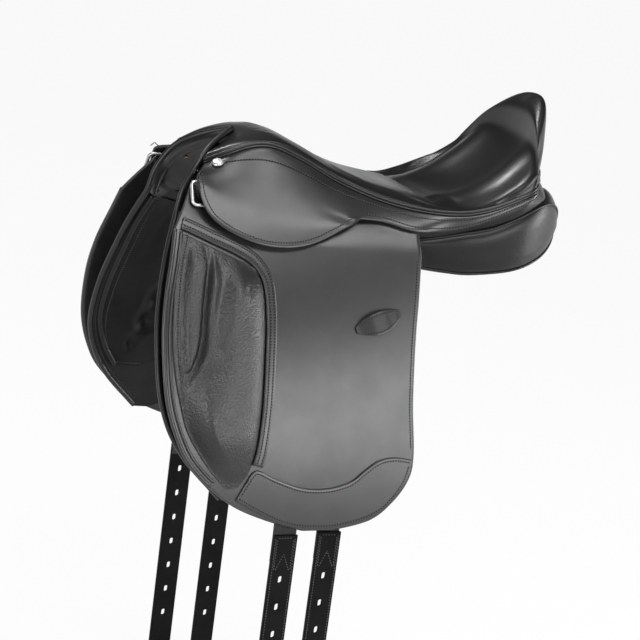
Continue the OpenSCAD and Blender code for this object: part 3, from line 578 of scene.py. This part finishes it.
# Linings: soft calf over a felt pad on the inner face of each sweat flap, sewn round their edge
# and drawn down by three tufts, with a welted edge at the front.
lining_front = [(-301, 50), (-313, 16), (-322, -25.6), (-328, -71), (-327, -125), (-314, -164.7), (-296, -193.1)]
lining_rear = [(-111, -4), (-107, -50.3), (-113, -95.1), (-131, -130.6), (-169, -156.2), (-217, -178.9), (-263, -196)]
tufts = [(0.515, 0.36), (0.63, 0.355), (0.79, 0.315)]


def lining_pad(u, v, x, z):
    dent = np.max([np.maximum(0, 1 - np.hypot((u - t[0]) * 220, (v - t[1]) * 200) / 26) for t in tufts], axis=0)
    pit = np.max([np.exp(-(((u - t[0]) * 220) ** 2 + ((v - t[1]) * 200) ** 2) / 30) for t in tufts], axis=0)
    return -26.6 - toe_in(x, z) - 13.0 * swell(u, 0.3) * swell(v, 0.3) * (1 - 0.6 * smooth(dent)) * (1 - 0.75 * pit)


def stuff(face, back, cap):
    """Sew a face of leather to its backing all round and plump the pad. Seam and backing are held."""
    rows, columns = face.shape[:2]
    count = rows * columns
    lap = list(range(columns)) + [i * columns + columns - 1 for i in range(1, rows)]
    lap += [(rows - 1) * columns + j for j in range(columns - 2, -1, -1)]
    lap += [i * columns for i in range(rows - 2, 0, -1)]
    sheet = grid_faces(rows, columns)
    faces = sheet + [tuple(v + count for v in f[::-1]) for f in sheet]
    faces += [(lap[k], lap[k - 1], lap[k - 1] + count, lap[k] + count) for k in range(len(lap))]
    points = np.concatenate([face.reshape(-1, 3), back.reshape(-1, 3)])
    return plump(points, faces, lap + list(range(count, 2 * count)), cap), faces


inside = side_grid(lining_front, lining_rear, 64, 56, lining_pad)
backing = side_grid(lining_front, lining_rear, 64, 56, lambda u, v, x, z: -24.6 - toe_in(x, z))
stuffed = stuff(inside, backing, 1.6)
lining_hide = leather("lining_calf", 0.004, 0.007, (0.42, 0.52), 700.0, 0.00016, shine=0.13)
fit_pair("lining_pad", lining_hide, stuffed, "saddle", "panel_leather", "_lining", fill=0.55)
pad = stuffed[0][:64 * 56].reshape(inside.shape)
drawn = np.cross(np.gradient(pad, axis=0), np.gradient(pad, axis=1))
drawn *= np.where(drawn[..., 1:2] < 0, -1, 1)
band = evenly(inset(along(lining_front, np.linspace(0, 1, 90)), -1.0), 3)
bound = cord_tube(on_side(*band.T, -26.0 - toe_in(*band.T)), 8.0, around=12)
fit_pair("lining_binding", panel_hide, bound, "saddle", "panel_leather")
sew("lining_stitching", "saddle", stitches(pad[1:-1, 3], drawn[1:-1, 3]), stitches(pad[-4, 4:-6], drawn[-4, 4:-6]))


# Front rolls: a thick piped roll of leather along each sweat flap's front edge and up over the
# pommel, where the two are folded into one another under the nose of the seat.
roll_hide = leather("roll_calf", 0.007, 0.012, (0.34, 0.42), 800.0, 0.00012, shine=0.38)
down = evenly(along(sweat_front, np.linspace(0.0, 1, 160)), 4)
over = [(-233, 0, 147), (-250, -15, 140), (-266, -28, 131.5), (-281, -42, 120), (-293, -50, 104), (-304, -54, 82)]
fall = on_side(*inset(down, -2.6).T, -22.3 - toe_in(*down.T))
roll = cord_tube(evenly(along(np.concatenate([over, fall[::5]]), np.linspace(0, 1, 260)), 4), 6.8, around=14)
fit_pair("front_roll", roll_hide, roll, "saddle", "panel_leather")


# Pommel facings: soft padded calf from the rolls to a stitched seam under the arch, turned back
# below it over the head of the tree.
seam = [(-250, 0, 123), (-262, -24, 115), (-275, -42, 101), (-284, -55, 84), (-289, -66, 67), (-301, -61, 48)]
tucked = [(-216, 0, 103), (-229, -20, 94), (-243, -38, 80), (-258, -50, 66), (-275, -59, 56), (-298, -60, 44)]
u = np.linspace(0, 1, 64)
outer, sewn_edge, hidden = along(over + [tuple(fall[0] + (2, 0, -4))], u), along(seam, u), along(tucked, u)
facing = np.array([outer + (sewn_edge - outer) * t for t in np.linspace(0, 1, 16)]
                  + [sewn_edge + (hidden - sewn_edge) * t for t in np.linspace(0, 1, 9)[1:]])
towards_horse = (-0.6, 0.8, -0.1)
proud = np.cross(np.gradient(facing, axis=0), np.gradient(facing, axis=1))
proud /= np.linalg.norm(proud, axis=-1)[..., None]
proud *= np.where((proud * towards_horse).sum(-1) < 0, -1, 1)[..., None]
facing[:16] += proud[:16] * 6.5 * np.sin(np.pi * np.linspace(0, 1, 16))[:, None, None] ** 0.8
sheet = cut_sheet(facing, 2.0, facing=towards_horse)
fit_pair("pommel_facing", roll_hide, sheet, "saddle", "panel_leather")
sew("pommel_stitching", "saddle", stitches(facing[14, 3:], proud[14, 3:]))


# Girth straps: webbing hung from the tree inside the flap, with a strap of punched bridle leather
# sewn over its lower end by a box of stitches. Two hang on each side.
strap_hide = leather("strap_hide", 0.003, 0.005, (0.50, 0.62), 1300.0, 0.00010, shine=0.08)
strap_half, strap_top, strap_shoulder, strap_tip = 15, -291, -601, -615
first_hole, hole_pitch, hole_radius = -346, 34.5, 2.5
strap_thick, strap_bevel = 4.0, 0.6


def web_strip(x, top, foot, outer, inner):
    """A strip of webbing that hangs on the near side."""
    z, w = np.meshgrid(np.linspace(top, foot, 60), np.linspace(-14.6, 14.6, 9), indexing="ij")
    face = on_side(np.full_like(z, x), z, outer)
    face[..., 0] += w
    return cut_sheet(face, abs(outer - inner) - 0.2)


anchors = join(*[web_strip(x, 36, 2.4, -13.0, -16.0)[:2] for x in (-179, -121)])
fit_pair("web_anchors", webbing, anchors[:2], "saddle", "webbing", "_girth_webs")

outline = [(-strap_half, strap_top), (strap_half, strap_top), (strap_half, strap_shoulder), (10, -611), (4, strap_tip),
           (-4, strap_tip), (-10, -611), (-strap_half, strap_shoulder)]
punched = [[(hole_radius * math.cos(a),
             first_hole - hole_pitch * k + 2.0 * np.sign(math.sin(a)) + hole_radius * math.sin(a))
            for a in np.linspace(0, 2 * math.pi, 20, endpoint=False) + 0.01] for k in range(7)]
sewn_lines = [[(-12.2, -294), (-12.2, -602)], [(12.2, -294), (12.2, -602)], [(-9, -294), (9, -294)],
              [(-10.2, -296), (-10.2, -334)], [(10.2, -296), (10.2, -334)], [(-8.5, -334), (0, -314), (8.5, -334)]]
for strap, x, leather_out, web_out in (("point", -179, -5.6, -9.8), ("balance", -121, -13.0, -17.2)):
    body = f"_{strap}_strap_body"
    tape = web_strip(x, 22, -324.5, web_out - 0.1, web_out - 1.9)
    fit_pair(strap + "_webbing", webbing, tape[:2], body, "webbing", f"_{strap}_web")
    cut = bpy.data.curves.new("strap_cut", "CURVE")
    cut.dimensions, cut.fill_mode = "2D", "BOTH"
    cut.extrude, cut.bevel_resolution = (strap_thick / 2 - strap_bevel) * 0.001, 2
    cut.bevel_depth, cut.offset = strap_bevel * 0.001, -strap_bevel * 0.001
    for ring in [outline] + punched:
        spline = cut.splines.new("POLY")
        spline.points.add(len(ring) - 1)
        spline.points.foreach_set("co", [c for px, pz in ring for c in (px * 0.001, pz * 0.001, 0.0, 1.0)])
        spline.use_cyclic_u = True
    holder = bpy.data.objects.new("strap_cut", cut)
    bpy.context.scene.collection.objects.link(holder)
    solid = bpy.data.meshes.new_from_object(holder.evaluated_get(bpy.context.evaluated_depsgraph_get()))
    bpy.data.objects.remove(holder)
    flat = np.array([v.co for v in solid.vertices]) * 1000
    faces = [tuple(f.vertices) for f in solid.polygons]
    bpy.data.meshes.remove(solid)
    front = -(widest + leather_out)
    points = np.stack([flat[:, 0] + x, front + strap_thick / 2 - flat[:, 2], flat[:, 1]], -1)
    for piece in fit_pair(strap + "_leather", strap_hide, (points, faces), body, "strap_leather", f"_{strap}_strap"):
        piece.data.polygons.foreach_set("use_smooth", [False] * len(faces))
    sewing = []
    for line in sewn_lines:
        p = evenly(line, 1.5)
        sewing.append(stitches(np.stack([p[:, 0] + x, np.full(len(p), front), p[:, 1]], -1),
                               np.tile((0.0, -1.0, 0.0), (len(p), 1))))
    sew(strap + "_stitching", body, *sewing)


# Flaps: a single hide of smooth bridle leather on each side, nailed to the tree under the skirt,
# and turned down at a fold. A row of stitches runs inside its rear edge.
flap_hide = leather("flap_hide", 0.009, 0.017, (0.31, 0.345), 1500.0, 0.00004, clouds=24.0, shine=0.55)
flap_front = [(-328, 47), (-334, 15), (-342, -25.6), (-345, -71), (-340, -130.6), (-325, -176.1), (-303, -210.2),
              (-258, -248.5), (-211, -269.8), (-161, -284)]
flap_rear = [(-26, 30), (-29, -17), (-32, -56.8), (-33, -99.4), (-32, -142), (-27, -196), (-31, -224.4),
             (-49, -251.3), (-77, -273.2), (-125, -284)]
head_top = [(-299, 98), (-292, 74), (-275, 53), (-252, 47.5), (-200, 47.5), (-150, 60), (-100, 68), (-27, 62)]
columns = 56
across = np.linspace(0, 1, columns)
top = along(head_top, across)
fold = np.array([(-328, 47)]) + across[:, None] * np.array([(302, -17)])
crown = np.array([on_side(p[:, 0], p[:, 1], -7.9 * (1 - v) ** 2)
                  for v in np.linspace(0, 1, 7)[:-1] for p in [top + (fold - top) * v]])
fall = side_grid(flap_front, flap_rear, 84, columns, 0.0)
sewn = cut_sheet(np.concatenate([crown, fall]), 4.0)


def fold_line(start, end, off):
    """Points just above and below a fold on the near side, square to the fold, in metres."""
    a, b = on_side(*start, off), on_side(*end, off)
    middle = (a + b) / 2
    axis = (b - a) / np.linalg.norm(b - a)
    fall = np.cross(axis, side_normal((start[0] + end[0]) / 2, (start[1] + end[1]) / 2))
    fall *= -np.sign(fall[2]) / np.linalg.norm(fall)
    return (middle - 2 * fall) * 0.001, (middle + 6 * fall) * 0.001


fit_pair("flap_leather", flap_hide, sewn, "_flap_body", "flap_leather", "_flap_head", "_flap",
         bend=fold_line((-328, 47), (-26, 30), 0.0))
edge = evenly(along(flap_front, np.linspace(0.0, 0.72, 140)), 4)
roll = join(cord_tube(on_side(*inset(edge, -2.2).T, -1.4), 4.8, around=12),
            cord_tube(on_side(*inset(edge, -8.4).T, 0.9), 3.4, around=10))
fit_pair("flap_edge_roll", flap_hide, roll[:2], "_flap_body", "flap_leather")
rear_line = inset(along(flap_rear, np.linspace(0.02, 0.54, 120)), 5)
sew("flap_stitching", "_flap_body", side_row(rear_line, 0.0))


# Knee blocks: grained calf over carved foam, sewn on the front of each flap by a flange with two
# rows of stitches and a piped edge. A groove parts the thin front strip from the thigh ridge.
block_hide = leather("block_calf", 0.007, 0.011, (0.38, 0.46), 430.0, 0.0006, clouds=26.0,
                     crease=260.0, crease_depth=0.22, shine=0.55)
block_front = [(-318, 43), (-327, 7), (-332, -33.2), (-333, -74.4), (-329, -108.8), (-322, -138.9), (-314, -163.9),
               (-299, -188.9), (-281, -211.9), (-262, -230.9)]
block_rear = [(-233, 10), (-224, -9.9), (-222, -47.4), (-223, -80.7), (-224, -113.6), (-225, -140.9), (-227, -165.6),
              (-230, -190.8), (-237, -213.9), (-249, -230)]
groove = np.array([(-313, 50), (-304, 45), (-294, 39), (-290, 29), (-290, 16), (-293, -7), (-296, -28), (-299, -59),
                   (-303, -80), (-310, -96), (-318, -109), (-328, -122)], float)


def groove_side(x, z):
    """Distance from the groove in mm, positive on the thigh's side."""
    line = evenly(along(groove, np.linspace(0, 1, 80)), 2.0)
    away = np.stack([x[..., None] - line[:, 0], z[..., None] - line[:, 1]], -1)
    near = np.linalg.norm(away, axis=-1).argmin(-1)
    run = np.gradient(line, axis=0)[near]
    gap = np.take_along_axis(away, near[..., None, None], -2)[..., 0, :]
    return np.linalg.norm(gap, axis=-1) * np.sign(run[..., 0] * gap[..., 1] - run[..., 1] * gap[..., 0])


def across_from(line, x, z):
    """Distance along X from a line that falls down the block, positive to the rear."""
    p = np.array(sorted(line, key=lambda q: q[1]), float)
    return x - np.interp(z, p[:, 1], p[:, 0])


valley_line = [(-272, 40), (-274, 18), (-279, -11), (-288, -42), (-296, -68), (-302, -96)]
thigh_line = [(-254, 10), (-258, -4), (-263, -20), (-273, -46), (-286, -74), (-295, -96)]


def block_top(u, v, x, z):
    """Height of the block over the flap: a flat strip, the groove, then the thigh's dome with its relief."""
    d = groove_side(x, z)
    breadth = along(block_rear, u)[..., 0] - along(block_front, u)[..., 0]
    inner = v * breadth - np.minimum(9, breadth * 0.12)
    lip = smooth((d + 1.0) / 7)
    strip = 8.0 * smooth(inner / 9) ** 0.65 * swell(u, 0.10)
    dome = (1 - np.exp((v - 1) * breadth / 15)) * smooth((v * breadth - 3) / 26) ** 0.65 \
        * smooth(u / 0.14) * smooth((1 - u) / 0.34) ** 0.8
    fade = smooth((20 - z) / 30) * smooth((z + 125) / 40)
    ridge = 5.0 * np.exp(-((d - 7) / 7) ** 2) * smooth((45 - z) / 20) * smooth((z + 110) / 30)
    valley = 5.5 * np.exp(-(across_from(valley_line, x, z) / 12) ** 2) * smooth((38 - z) / 20) * smooth((z + 118) / 30)
    thigh = 4.0 * np.exp(-(across_from(thigh_line, x, z) / 11) ** 2) * fade
    bulge = 2.5 * np.exp(-((x + 288) / 30) ** 2 - ((z + 152) / 34) ** 2)
    full = (12.5 + 9.0 * smooth((d - 3) / 40) + ridge - valley + thigh + bulge) * dome
    cut = 7.0 * np.exp(-(d / 3.6) ** 2) * swell(u, 0.06)
    return 1.6 + strip * (1 - lip) + full * lip - np.minimum(cut, strip * 0.8)


carved = stuff(side_grid(block_front, block_rear, 130, 84, block_top),
               side_grid(block_front, block_rear, 130, 84, 0.5), 1.5)
fit_pair("knee_roll", block_hide, carved, "_flap_body", "seat_leather", "_knee_block", fill=0.8)
flange_line = np.array([(-320, 49), (-304, 43.5), (-282, 35), (-258, 26), (-239, 16.5), (-227, 4), (-221.5, -12),
                        (-219.5, -47), (-220.5, -80), (-221.5, -113), (-222.5, -140), (-224.5, -165), (-227.5, -190),
                        (-231, -204)], float)
path = evenly(along(flange_line, np.linspace(0, 1, 160)), 3)
strip = np.stack([on_side(*inset(path, by).T, lift)
                  for by, lift in ((0.5, 1.4), (-1, 2.0), (-6, 1.9), (-10.5, 1.7), (-12, 1.2))], 1)
flange = cut_sheet(strip, 1.1)
fit_pair("knee_flange", flap_hide, flange[:2], "_flap_body", "flap_leather")
fit_pair("knee_piping", block_hide, cord_tube(on_side(*path.T, 2.4), 3.4), "_flap_body", "flap_leather")
front_line = along(block_front, np.linspace(0.0, 0.97, 100))
sew("knee_stitching", "_flap_body", side_row(inset(path, -4), 2.0), side_row(inset(path, -9), 1.8),
    side_row(inset(front_line, -5.5), 1.7))


# Wear patches: a second layer of flap leather along the lower edge, with a dipping upper edge,
# sewn on all round where the spur and the stirrup rub.
patch_top = [(-235, -217.3), (-225, -210.2), (-202, -220.1), (-168, -231.5), (-136, -232.9), (-108, -225.8),
             (-91, -213), (-74, -201.6), (-54, -197.4), (-31, -200.2)]
patch_foot = [(-249, -244.8), (-227, -257), (-197, -271.2), (-165, -279.7), (-129, -280.6), (-97, -275.5),
              (-67, -263.6), (-47, -244.8), (-34, -222.9), (-30, -204.5)]
sewn = cut_sheet(side_grid(patch_top, patch_foot, 90, 18, 2.6), 2.0)
fit_pair("wear_patch", flap_hide, sewn, "_flap_body", "flap_leather", "_flap_patch")
upper = inset(along(patch_top, np.linspace(0.0, 1, 120)), 3.6)
lower = inset(along(patch_foot, np.linspace(0.02, 0.99, 120)), -4.0)
start = np.array([patch_top[0], patch_foot[0]]) + ((3.4, -2), (5.0, 3.5))
sew("patch_stitching", "_flap_body", *[side_row(line, 2.6) for line in (upper, lower, start)])


# Keepers: an eye-shaped loop of flap leather on each flap that holds the end of the stirrup
# leather, stitched round its border, with both ends let into slits.
keeper_hide = leather("keeper_hide", 0.010, 0.016, (0.36, 0.46), 1100.0, 0.00010, shine=0.4)
tilt = math.radians(21)


def keeper_at(u, v):
    """Place on the flap of a point along and across the keeper, and how far it bows out."""
    length, width = (u - 0.5) * 60, v * 12.5 * (0.26 + 0.74 * np.sin(np.pi * u) ** 0.8)
    return (-81.5 + length * math.cos(tilt) - width * math.sin(tilt),
            -42.5 + length * math.sin(tilt) + width * math.cos(tilt), 2.8 + 6.5 * swell(u, 0.42))


u, v = np.meshgrid(np.linspace(0, 1, 44), np.linspace(-1, 1, 13), indexing="ij")
sewn = cut_sheet(on_side(*keeper_at(u, v)), 2.3)
fit_pair("leather_keeper", keeper_hide, sewn, "_flap_body", "flap_leather", "_keeper")
round_u = np.concatenate([np.linspace(0.08, 0.92, 60), np.linspace(0.92, 0.08, 60)])
border = keeper_at(round_u, np.repeat((0.74, -0.74), 60))
sew("keeper_stitching", "_flap_body", stitches(on_side(*border), side_normal(*border[:2]), width=1.0))


# Seat: soft black calf drawn over carved foam, deep in the middle and rolled high at the cantle.
# It is sewn into the piped welt all round its edge.
seat_hide = leather("seat_calf", 0.005, 0.008, (0.29, 0.35), 1000.0, 0.00005, clouds=18.0, shine=0.4)


def seat_at(share, turn):
    e, c = along(edge_line, share), along(crest_line, share)
    up = np.sin(turn) ** (0.85 + 0.25 * smooth((share - 0.4) / 0.5))
    out = np.maximum(0, np.cos(turn)) ** 0.8
    return np.stack([c[..., 0] + (e[..., 0] - c[..., 0]) * out * out, -e[..., 1] * out,
                     e[..., 2] + (c[..., 2] - e[..., 2]) * up], -1)


def seat_dressed(share, turn):
    """The seat with its scooped middle, the soft rim beside it and the flank that falls to the welt."""
    at = seat_at(share, turn)
    across = -at[..., 1] / np.maximum(along(edge_line, share)[..., 1], 1)
    rear = smooth((share - 0.46) / 0.18) * smooth((0.81 - share) / 0.10)
    lift = 2.8 * np.exp(-((across - 0.48) / 0.15) ** 2) - 9.0 * np.exp(-((across - 0.82) / 0.12) ** 2) \
        - 1.0 * np.exp(-(across / 0.25) ** 2)
    return at + np.stack([-0.4 * lift * rear, 0 * lift, lift * rear], -1)


half = 30
turn = np.radians(np.concatenate([np.linspace(0, 90, half + 1), np.linspace(90, 0, half + 1)[1:]]))
hand = np.concatenate([np.ones(half + 1), -np.ones(half)])
shares, turns = np.meshgrid(np.linspace(0, 0.985, 120), turn, indexing="ij")
top, bed = seat_dressed(shares, turns), bed_at(shares, turns, -0.6)
for layer in (top, bed):
    layer[..., 1] *= hand
seat = make_piece("seat_leather_cover", seat_hide, *stuff(top, bed, 1.5))
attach(seat, "saddle")
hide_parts("seat_cover", "seat_foam")


# Welt: two piped cords covered in calf, sewn between the seat and the skirts from the pommel
# round the cantle and back.
line = along(edge_line, np.linspace(0, 0.98, 140)) * (1, -1, 1)
full = np.concatenate([line, line[::-1] * (1, -1, 1)])
run = np.gradient(full, axis=0)
away = np.stack([run[:, 1], -run[:, 0], np.zeros(len(full))], -1) / np.hypot(run[:, 0], run[:, 1])[:, None]
away *= np.where((away * (full - (-60, 0, 0))).sum(1) < 0, -1, 1)[:, None]
cords = join(cord_tube(evenly(full + (0, 0, -2.0), 4), 4.2),
             cord_tube(evenly(full + (0, 0, -5.0) + away * 1.2, 4), 2.8))
welt = make_piece("seat_piping", seat_hide, *cords[:2])
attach(welt, "saddle")
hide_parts("seat_welt")


# Skirts: smooth bridle leather from under the welt down over the stirrup bar, narrowing to a band
# round the cantle. They stand out from a fold below the seat, and a row of stitches follows their lower edge.
skirt_out, skirt_lift = 8.6, 3.4


def fold_height(x):
    return 108 - 42 * (x + 297) / 197


def fold_point(x):
    z = fold_height(x) + 0.4
    return (x, side_y(x, z) + skirt_out, z)


band_foot = [fold_point(x) for x in (-296, -272, -243, -214, -190, -158, -121)] + [
    (-76, 109.5, 67.5), (-34, 118, 59), (6, 116, 60), (42, 125, 71), (80, 129, 89), (114, 124, 105), (128, 102, 113),
    (149, 68, 117), (163, 33, 118), (167, 0, 118)]
skirt_foot = [(-299, 104), (-297, 84), (-289, 67), (-277, 56), (-255, 45), (-230, 37.5), (-205, 35), (-180, 37),
              (-156, 44), (-128, 57.5), (-104, 68)]


def band_at(share, t):
    """The band under the welt: share runs from pommel to cantle, t from its top to its foot."""
    e, b = along(edge_line, share), along(band_foot, share)
    top = e + (0, 1.4, -6.2)
    return (top + (b - top) * t[..., None] + np.array((0, 1.5, 0.9)) * np.sin(np.pi * t)[..., None]) * (1, -1, 1)


def skirt_at(x, z):
    return on_side(x, z, skirt_out + skirt_lift * smooth((fold_height(x) - 0.4 - z) / 11))


def band_row(first, final, t):
    """A row of stitches along the band, a share t of the way down it."""
    line = np.linspace(first, final, 220)
    step = band_at(line, np.full(220, t))
    lift = np.cross(np.gradient(step, axis=0), band_at(line, np.full(220, t + 0.06)) - step)
    return stitches(step, lift * np.where((lift * (0, -1, 0.3)).sum(1) < 0, -1, 1)[:, None])


columns, band_rows, skirt_rows = 150, 9, 14
shares = np.linspace(0, 0.995, columns)
grid = np.array([band_at(shares, np.full(columns, t)) for t in np.linspace(0, 1, band_rows)])
reach = int(np.sum(grid[-1, :, 0] < -106))
foot = along(skirt_foot, np.clip((grid[-1, :reach, 0] + 297) / 195.5, 0, 1))
fold = grid[-1, :reach][:, [0, 2]]
skirt = np.array([skirt_at(*(fold + (foot - fold) * k / skirt_rows).T) for k in range(1, skirt_rows + 1)])
chain = np.concatenate([grid[:, :reach], skirt])
eased = chain.copy()
for turn in range(45):
    eased[1:-1] = eased[1:-1] * 0.5 + (eased[:-2] + eased[2:]) * 0.25
share = np.exp(-((np.arange(len(chain)) - band_rows + 1) / 6.5) ** 4)[:, None]
share = share * smooth((reach - 1 - np.arange(reach)) / 14)
chain += (eased - chain) * share[..., None]
grid[:, :reach], skirt = chain[:band_rows], chain[band_rows:]
base, last = band_rows * columns, (band_rows - 1) * columns
points = np.concatenate([grid.reshape(-1, 3), skirt.reshape(-1, 3)])
index = np.concatenate([np.arange(last, last + reach)[None],
                        base + np.arange(skirt_rows * reach).reshape(skirt_rows, reach)]).tolist()
faces = grid_faces(band_rows, columns)
faces += [(index[i][j], index[i][j + 1], index[i + 1][j + 1], index[i + 1][j])
          for i in range(skirt_rows) for j in range(reach - 1)]
faces += [(index[i][reach - 1], last + reach, index[i + 1][reach - 1]) for i in range(skirt_rows)]
bend = fold_line((-297, 108), (-100, 66), skirt_out)
fit_pair("skirt_leather", flap_hide, cut_leather(points, faces, 3.2), "_skirt_body", "flap_leather",
         "_skirt_band", "_skirt", bend=bend)
edge = evenly(np.concatenate([skirt[::-1, 0][:, [0, 2]][:-2], skirt[-1][:, [0, 2]]]), 2.0)
border = inset(edge, -5.0).T
sew("skirt_stitching", "_skirt_body", stitches(skirt_at(*border), side_normal(*border)),
    band_row(0.06, 0.97, 0.30), band_row(shares[reach + 2], 0.97, 0.80), bend=bend)


# Dees, their chapes and the saddle studs: bright nickel-plated wire and domed nail heads, with a
# loop of strap leather that holds each dee to the tree's side. The nail heads are left plain.
plated, wire, place = new_finish("nickel_plate")
tarnish, scuffs = noise(place, 160.0, 4.0), noise(place, 900.0, 3.0)
close_finish(wire, blend_colours(wire, tarnish, grey(0.34), grey(0.50)), 0.34 + tarnish * 0.18, scuffs, 0.00004,
             Metallic=1.0)
finish_nodes(plated, "near_dee", "off_dee", "near_stud", "off_stud")
finish_nodes(strap_hide, "near_dee_chape", "off_dee_chape")


# Studio: a pale floor under the hanging straps, a white surround that fades to a dim ceiling, and
# soft boxes in front, above, at both ends and behind. The camera stands where the photograph was taken.
def ray_kinds(wire):
    return [wire.node("ShaderNodeLightPath", out=f"Is {kind} Ray") for kind in ("Camera", "Glossy", "Transmission")]


floor_paint, wire, place = new_finish("studio_floor")
seen, shiny, through = ray_kinds(wire)
matt = wire.node("ShaderNodeBsdfDiffuse", {},
                 {"Color": blend_colours(wire, noise(place, 3.0, 2.0), grey(0.78), grey(0.80))})
white = wire.node("ShaderNodeEmission", {}, {"Color": (1, 1, 1, 1), "Strength": 1.0})
share = wire.math("MAXIMUM", wire.math("MAXIMUM", seen, shiny), through) * 0.94
wire.node("ShaderNodeOutputMaterial", {},
          {"Surface": wire.node("ShaderNodeMixShader", {}, {0: share, 1: matt, 2: white})})
floor_half, floor_level = 40000, -616
ground = make_piece("studio_floor", floor_paint, [(x * floor_half, y * floor_half, floor_level)
                                                  for x, y in ((-1, -1), (1, -1), (1, 1), (-1, 1))], [(0, 1, 2, 3)])

world = bpy.data.worlds.new("studio")
bpy.context.scene.world = world
world.use_nodes = True
world.node_tree.nodes.clear()
wire = Wire(world.node_tree)
sky = wire.node("ShaderNodeTexCoord", out="Generated")
height = wire.node("ShaderNodeSeparateXYZ", {}, {0: sky}, out="Z")
seen, shiny, through = ray_kinds(wire)
sweep = 1 - height.between(0.06, 0.30)
share = wire.math("MAXIMUM", wire.math("MAXIMUM", seen, through), shiny * sweep)
dim = wire.node("ShaderNodeBackground", {}, {"Color": grey(1.0), "Strength": 0.06})
bright = wire.node("ShaderNodeBackground", {}, {"Color": grey(1.0), "Strength": 1.0})
wire.node("ShaderNodeOutputWorld", {},
          {"Surface": wire.node("ShaderNodeMixShader", {}, {0: share, 1: dim, 2: bright})})


def soft_box(name, place, aim, width, height, power):
    lamp = bpy.data.lights.new(name, "AREA")
    lamp.shape, lamp.size, lamp.size_y, lamp.energy = "RECTANGLE", width, height, power
    box = bpy.data.objects.new(name, lamp)
    bpy.context.scene.collection.objects.link(box)
    box.location = place
    box.rotation_euler = (Vector(aim) - Vector(place)).to_track_quat("-Z", "Y").to_euler()


soft_box("key_box", (1.15, -2.4, 0.05), (-0.1, 0, -0.05), 1.9, 1.0, 44)
soft_box("top_box", (0.0, -1.6, 1.8), (-0.1, 0, 0.0), 1.6, 0.8, 40)
soft_box("left_box", (-2.2, -1.45, 0.5), (-0.25, 0, -0.05), 0.7, 1.3, 34)
soft_box("right_box", (2.2, -0.4, 0.1), (0.1, 0, 0.05), 0.5, 1.4, 30)
soft_box("back_box", (-0.55, 1.0, 1.85), (0.1, 0, 0.13), 0.5, 0.35, 19)
soft_box("overhead_box", (-0.15, -0.45, 2.2), (-0.15, 0, 0.1), 1.2, 0.7, 16)

lens = bpy.data.cameras.new("photo_camera")
lens.sensor_width, lens.lens = 36.0, 108.04
camera = bpy.data.objects.new("photo_camera", lens)
bpy.context.scene.collection.objects.link(camera)
right, up, ahead = (0.91816, -0.37461, 0.12904), (-0.02223, 0.27646, 0.96077), (0.39558, 0.88501, -0.24551)
stand = Matrix((right, up, [-c for c in ahead])).transposed().to_4x4()
stand.translation = (-1.02533, -2.09665, 0.49739)
camera.matrix_world = stand
bpy.context.scene.camera = camera
bpy.context.scene.view_settings.view_transform = "Standard"
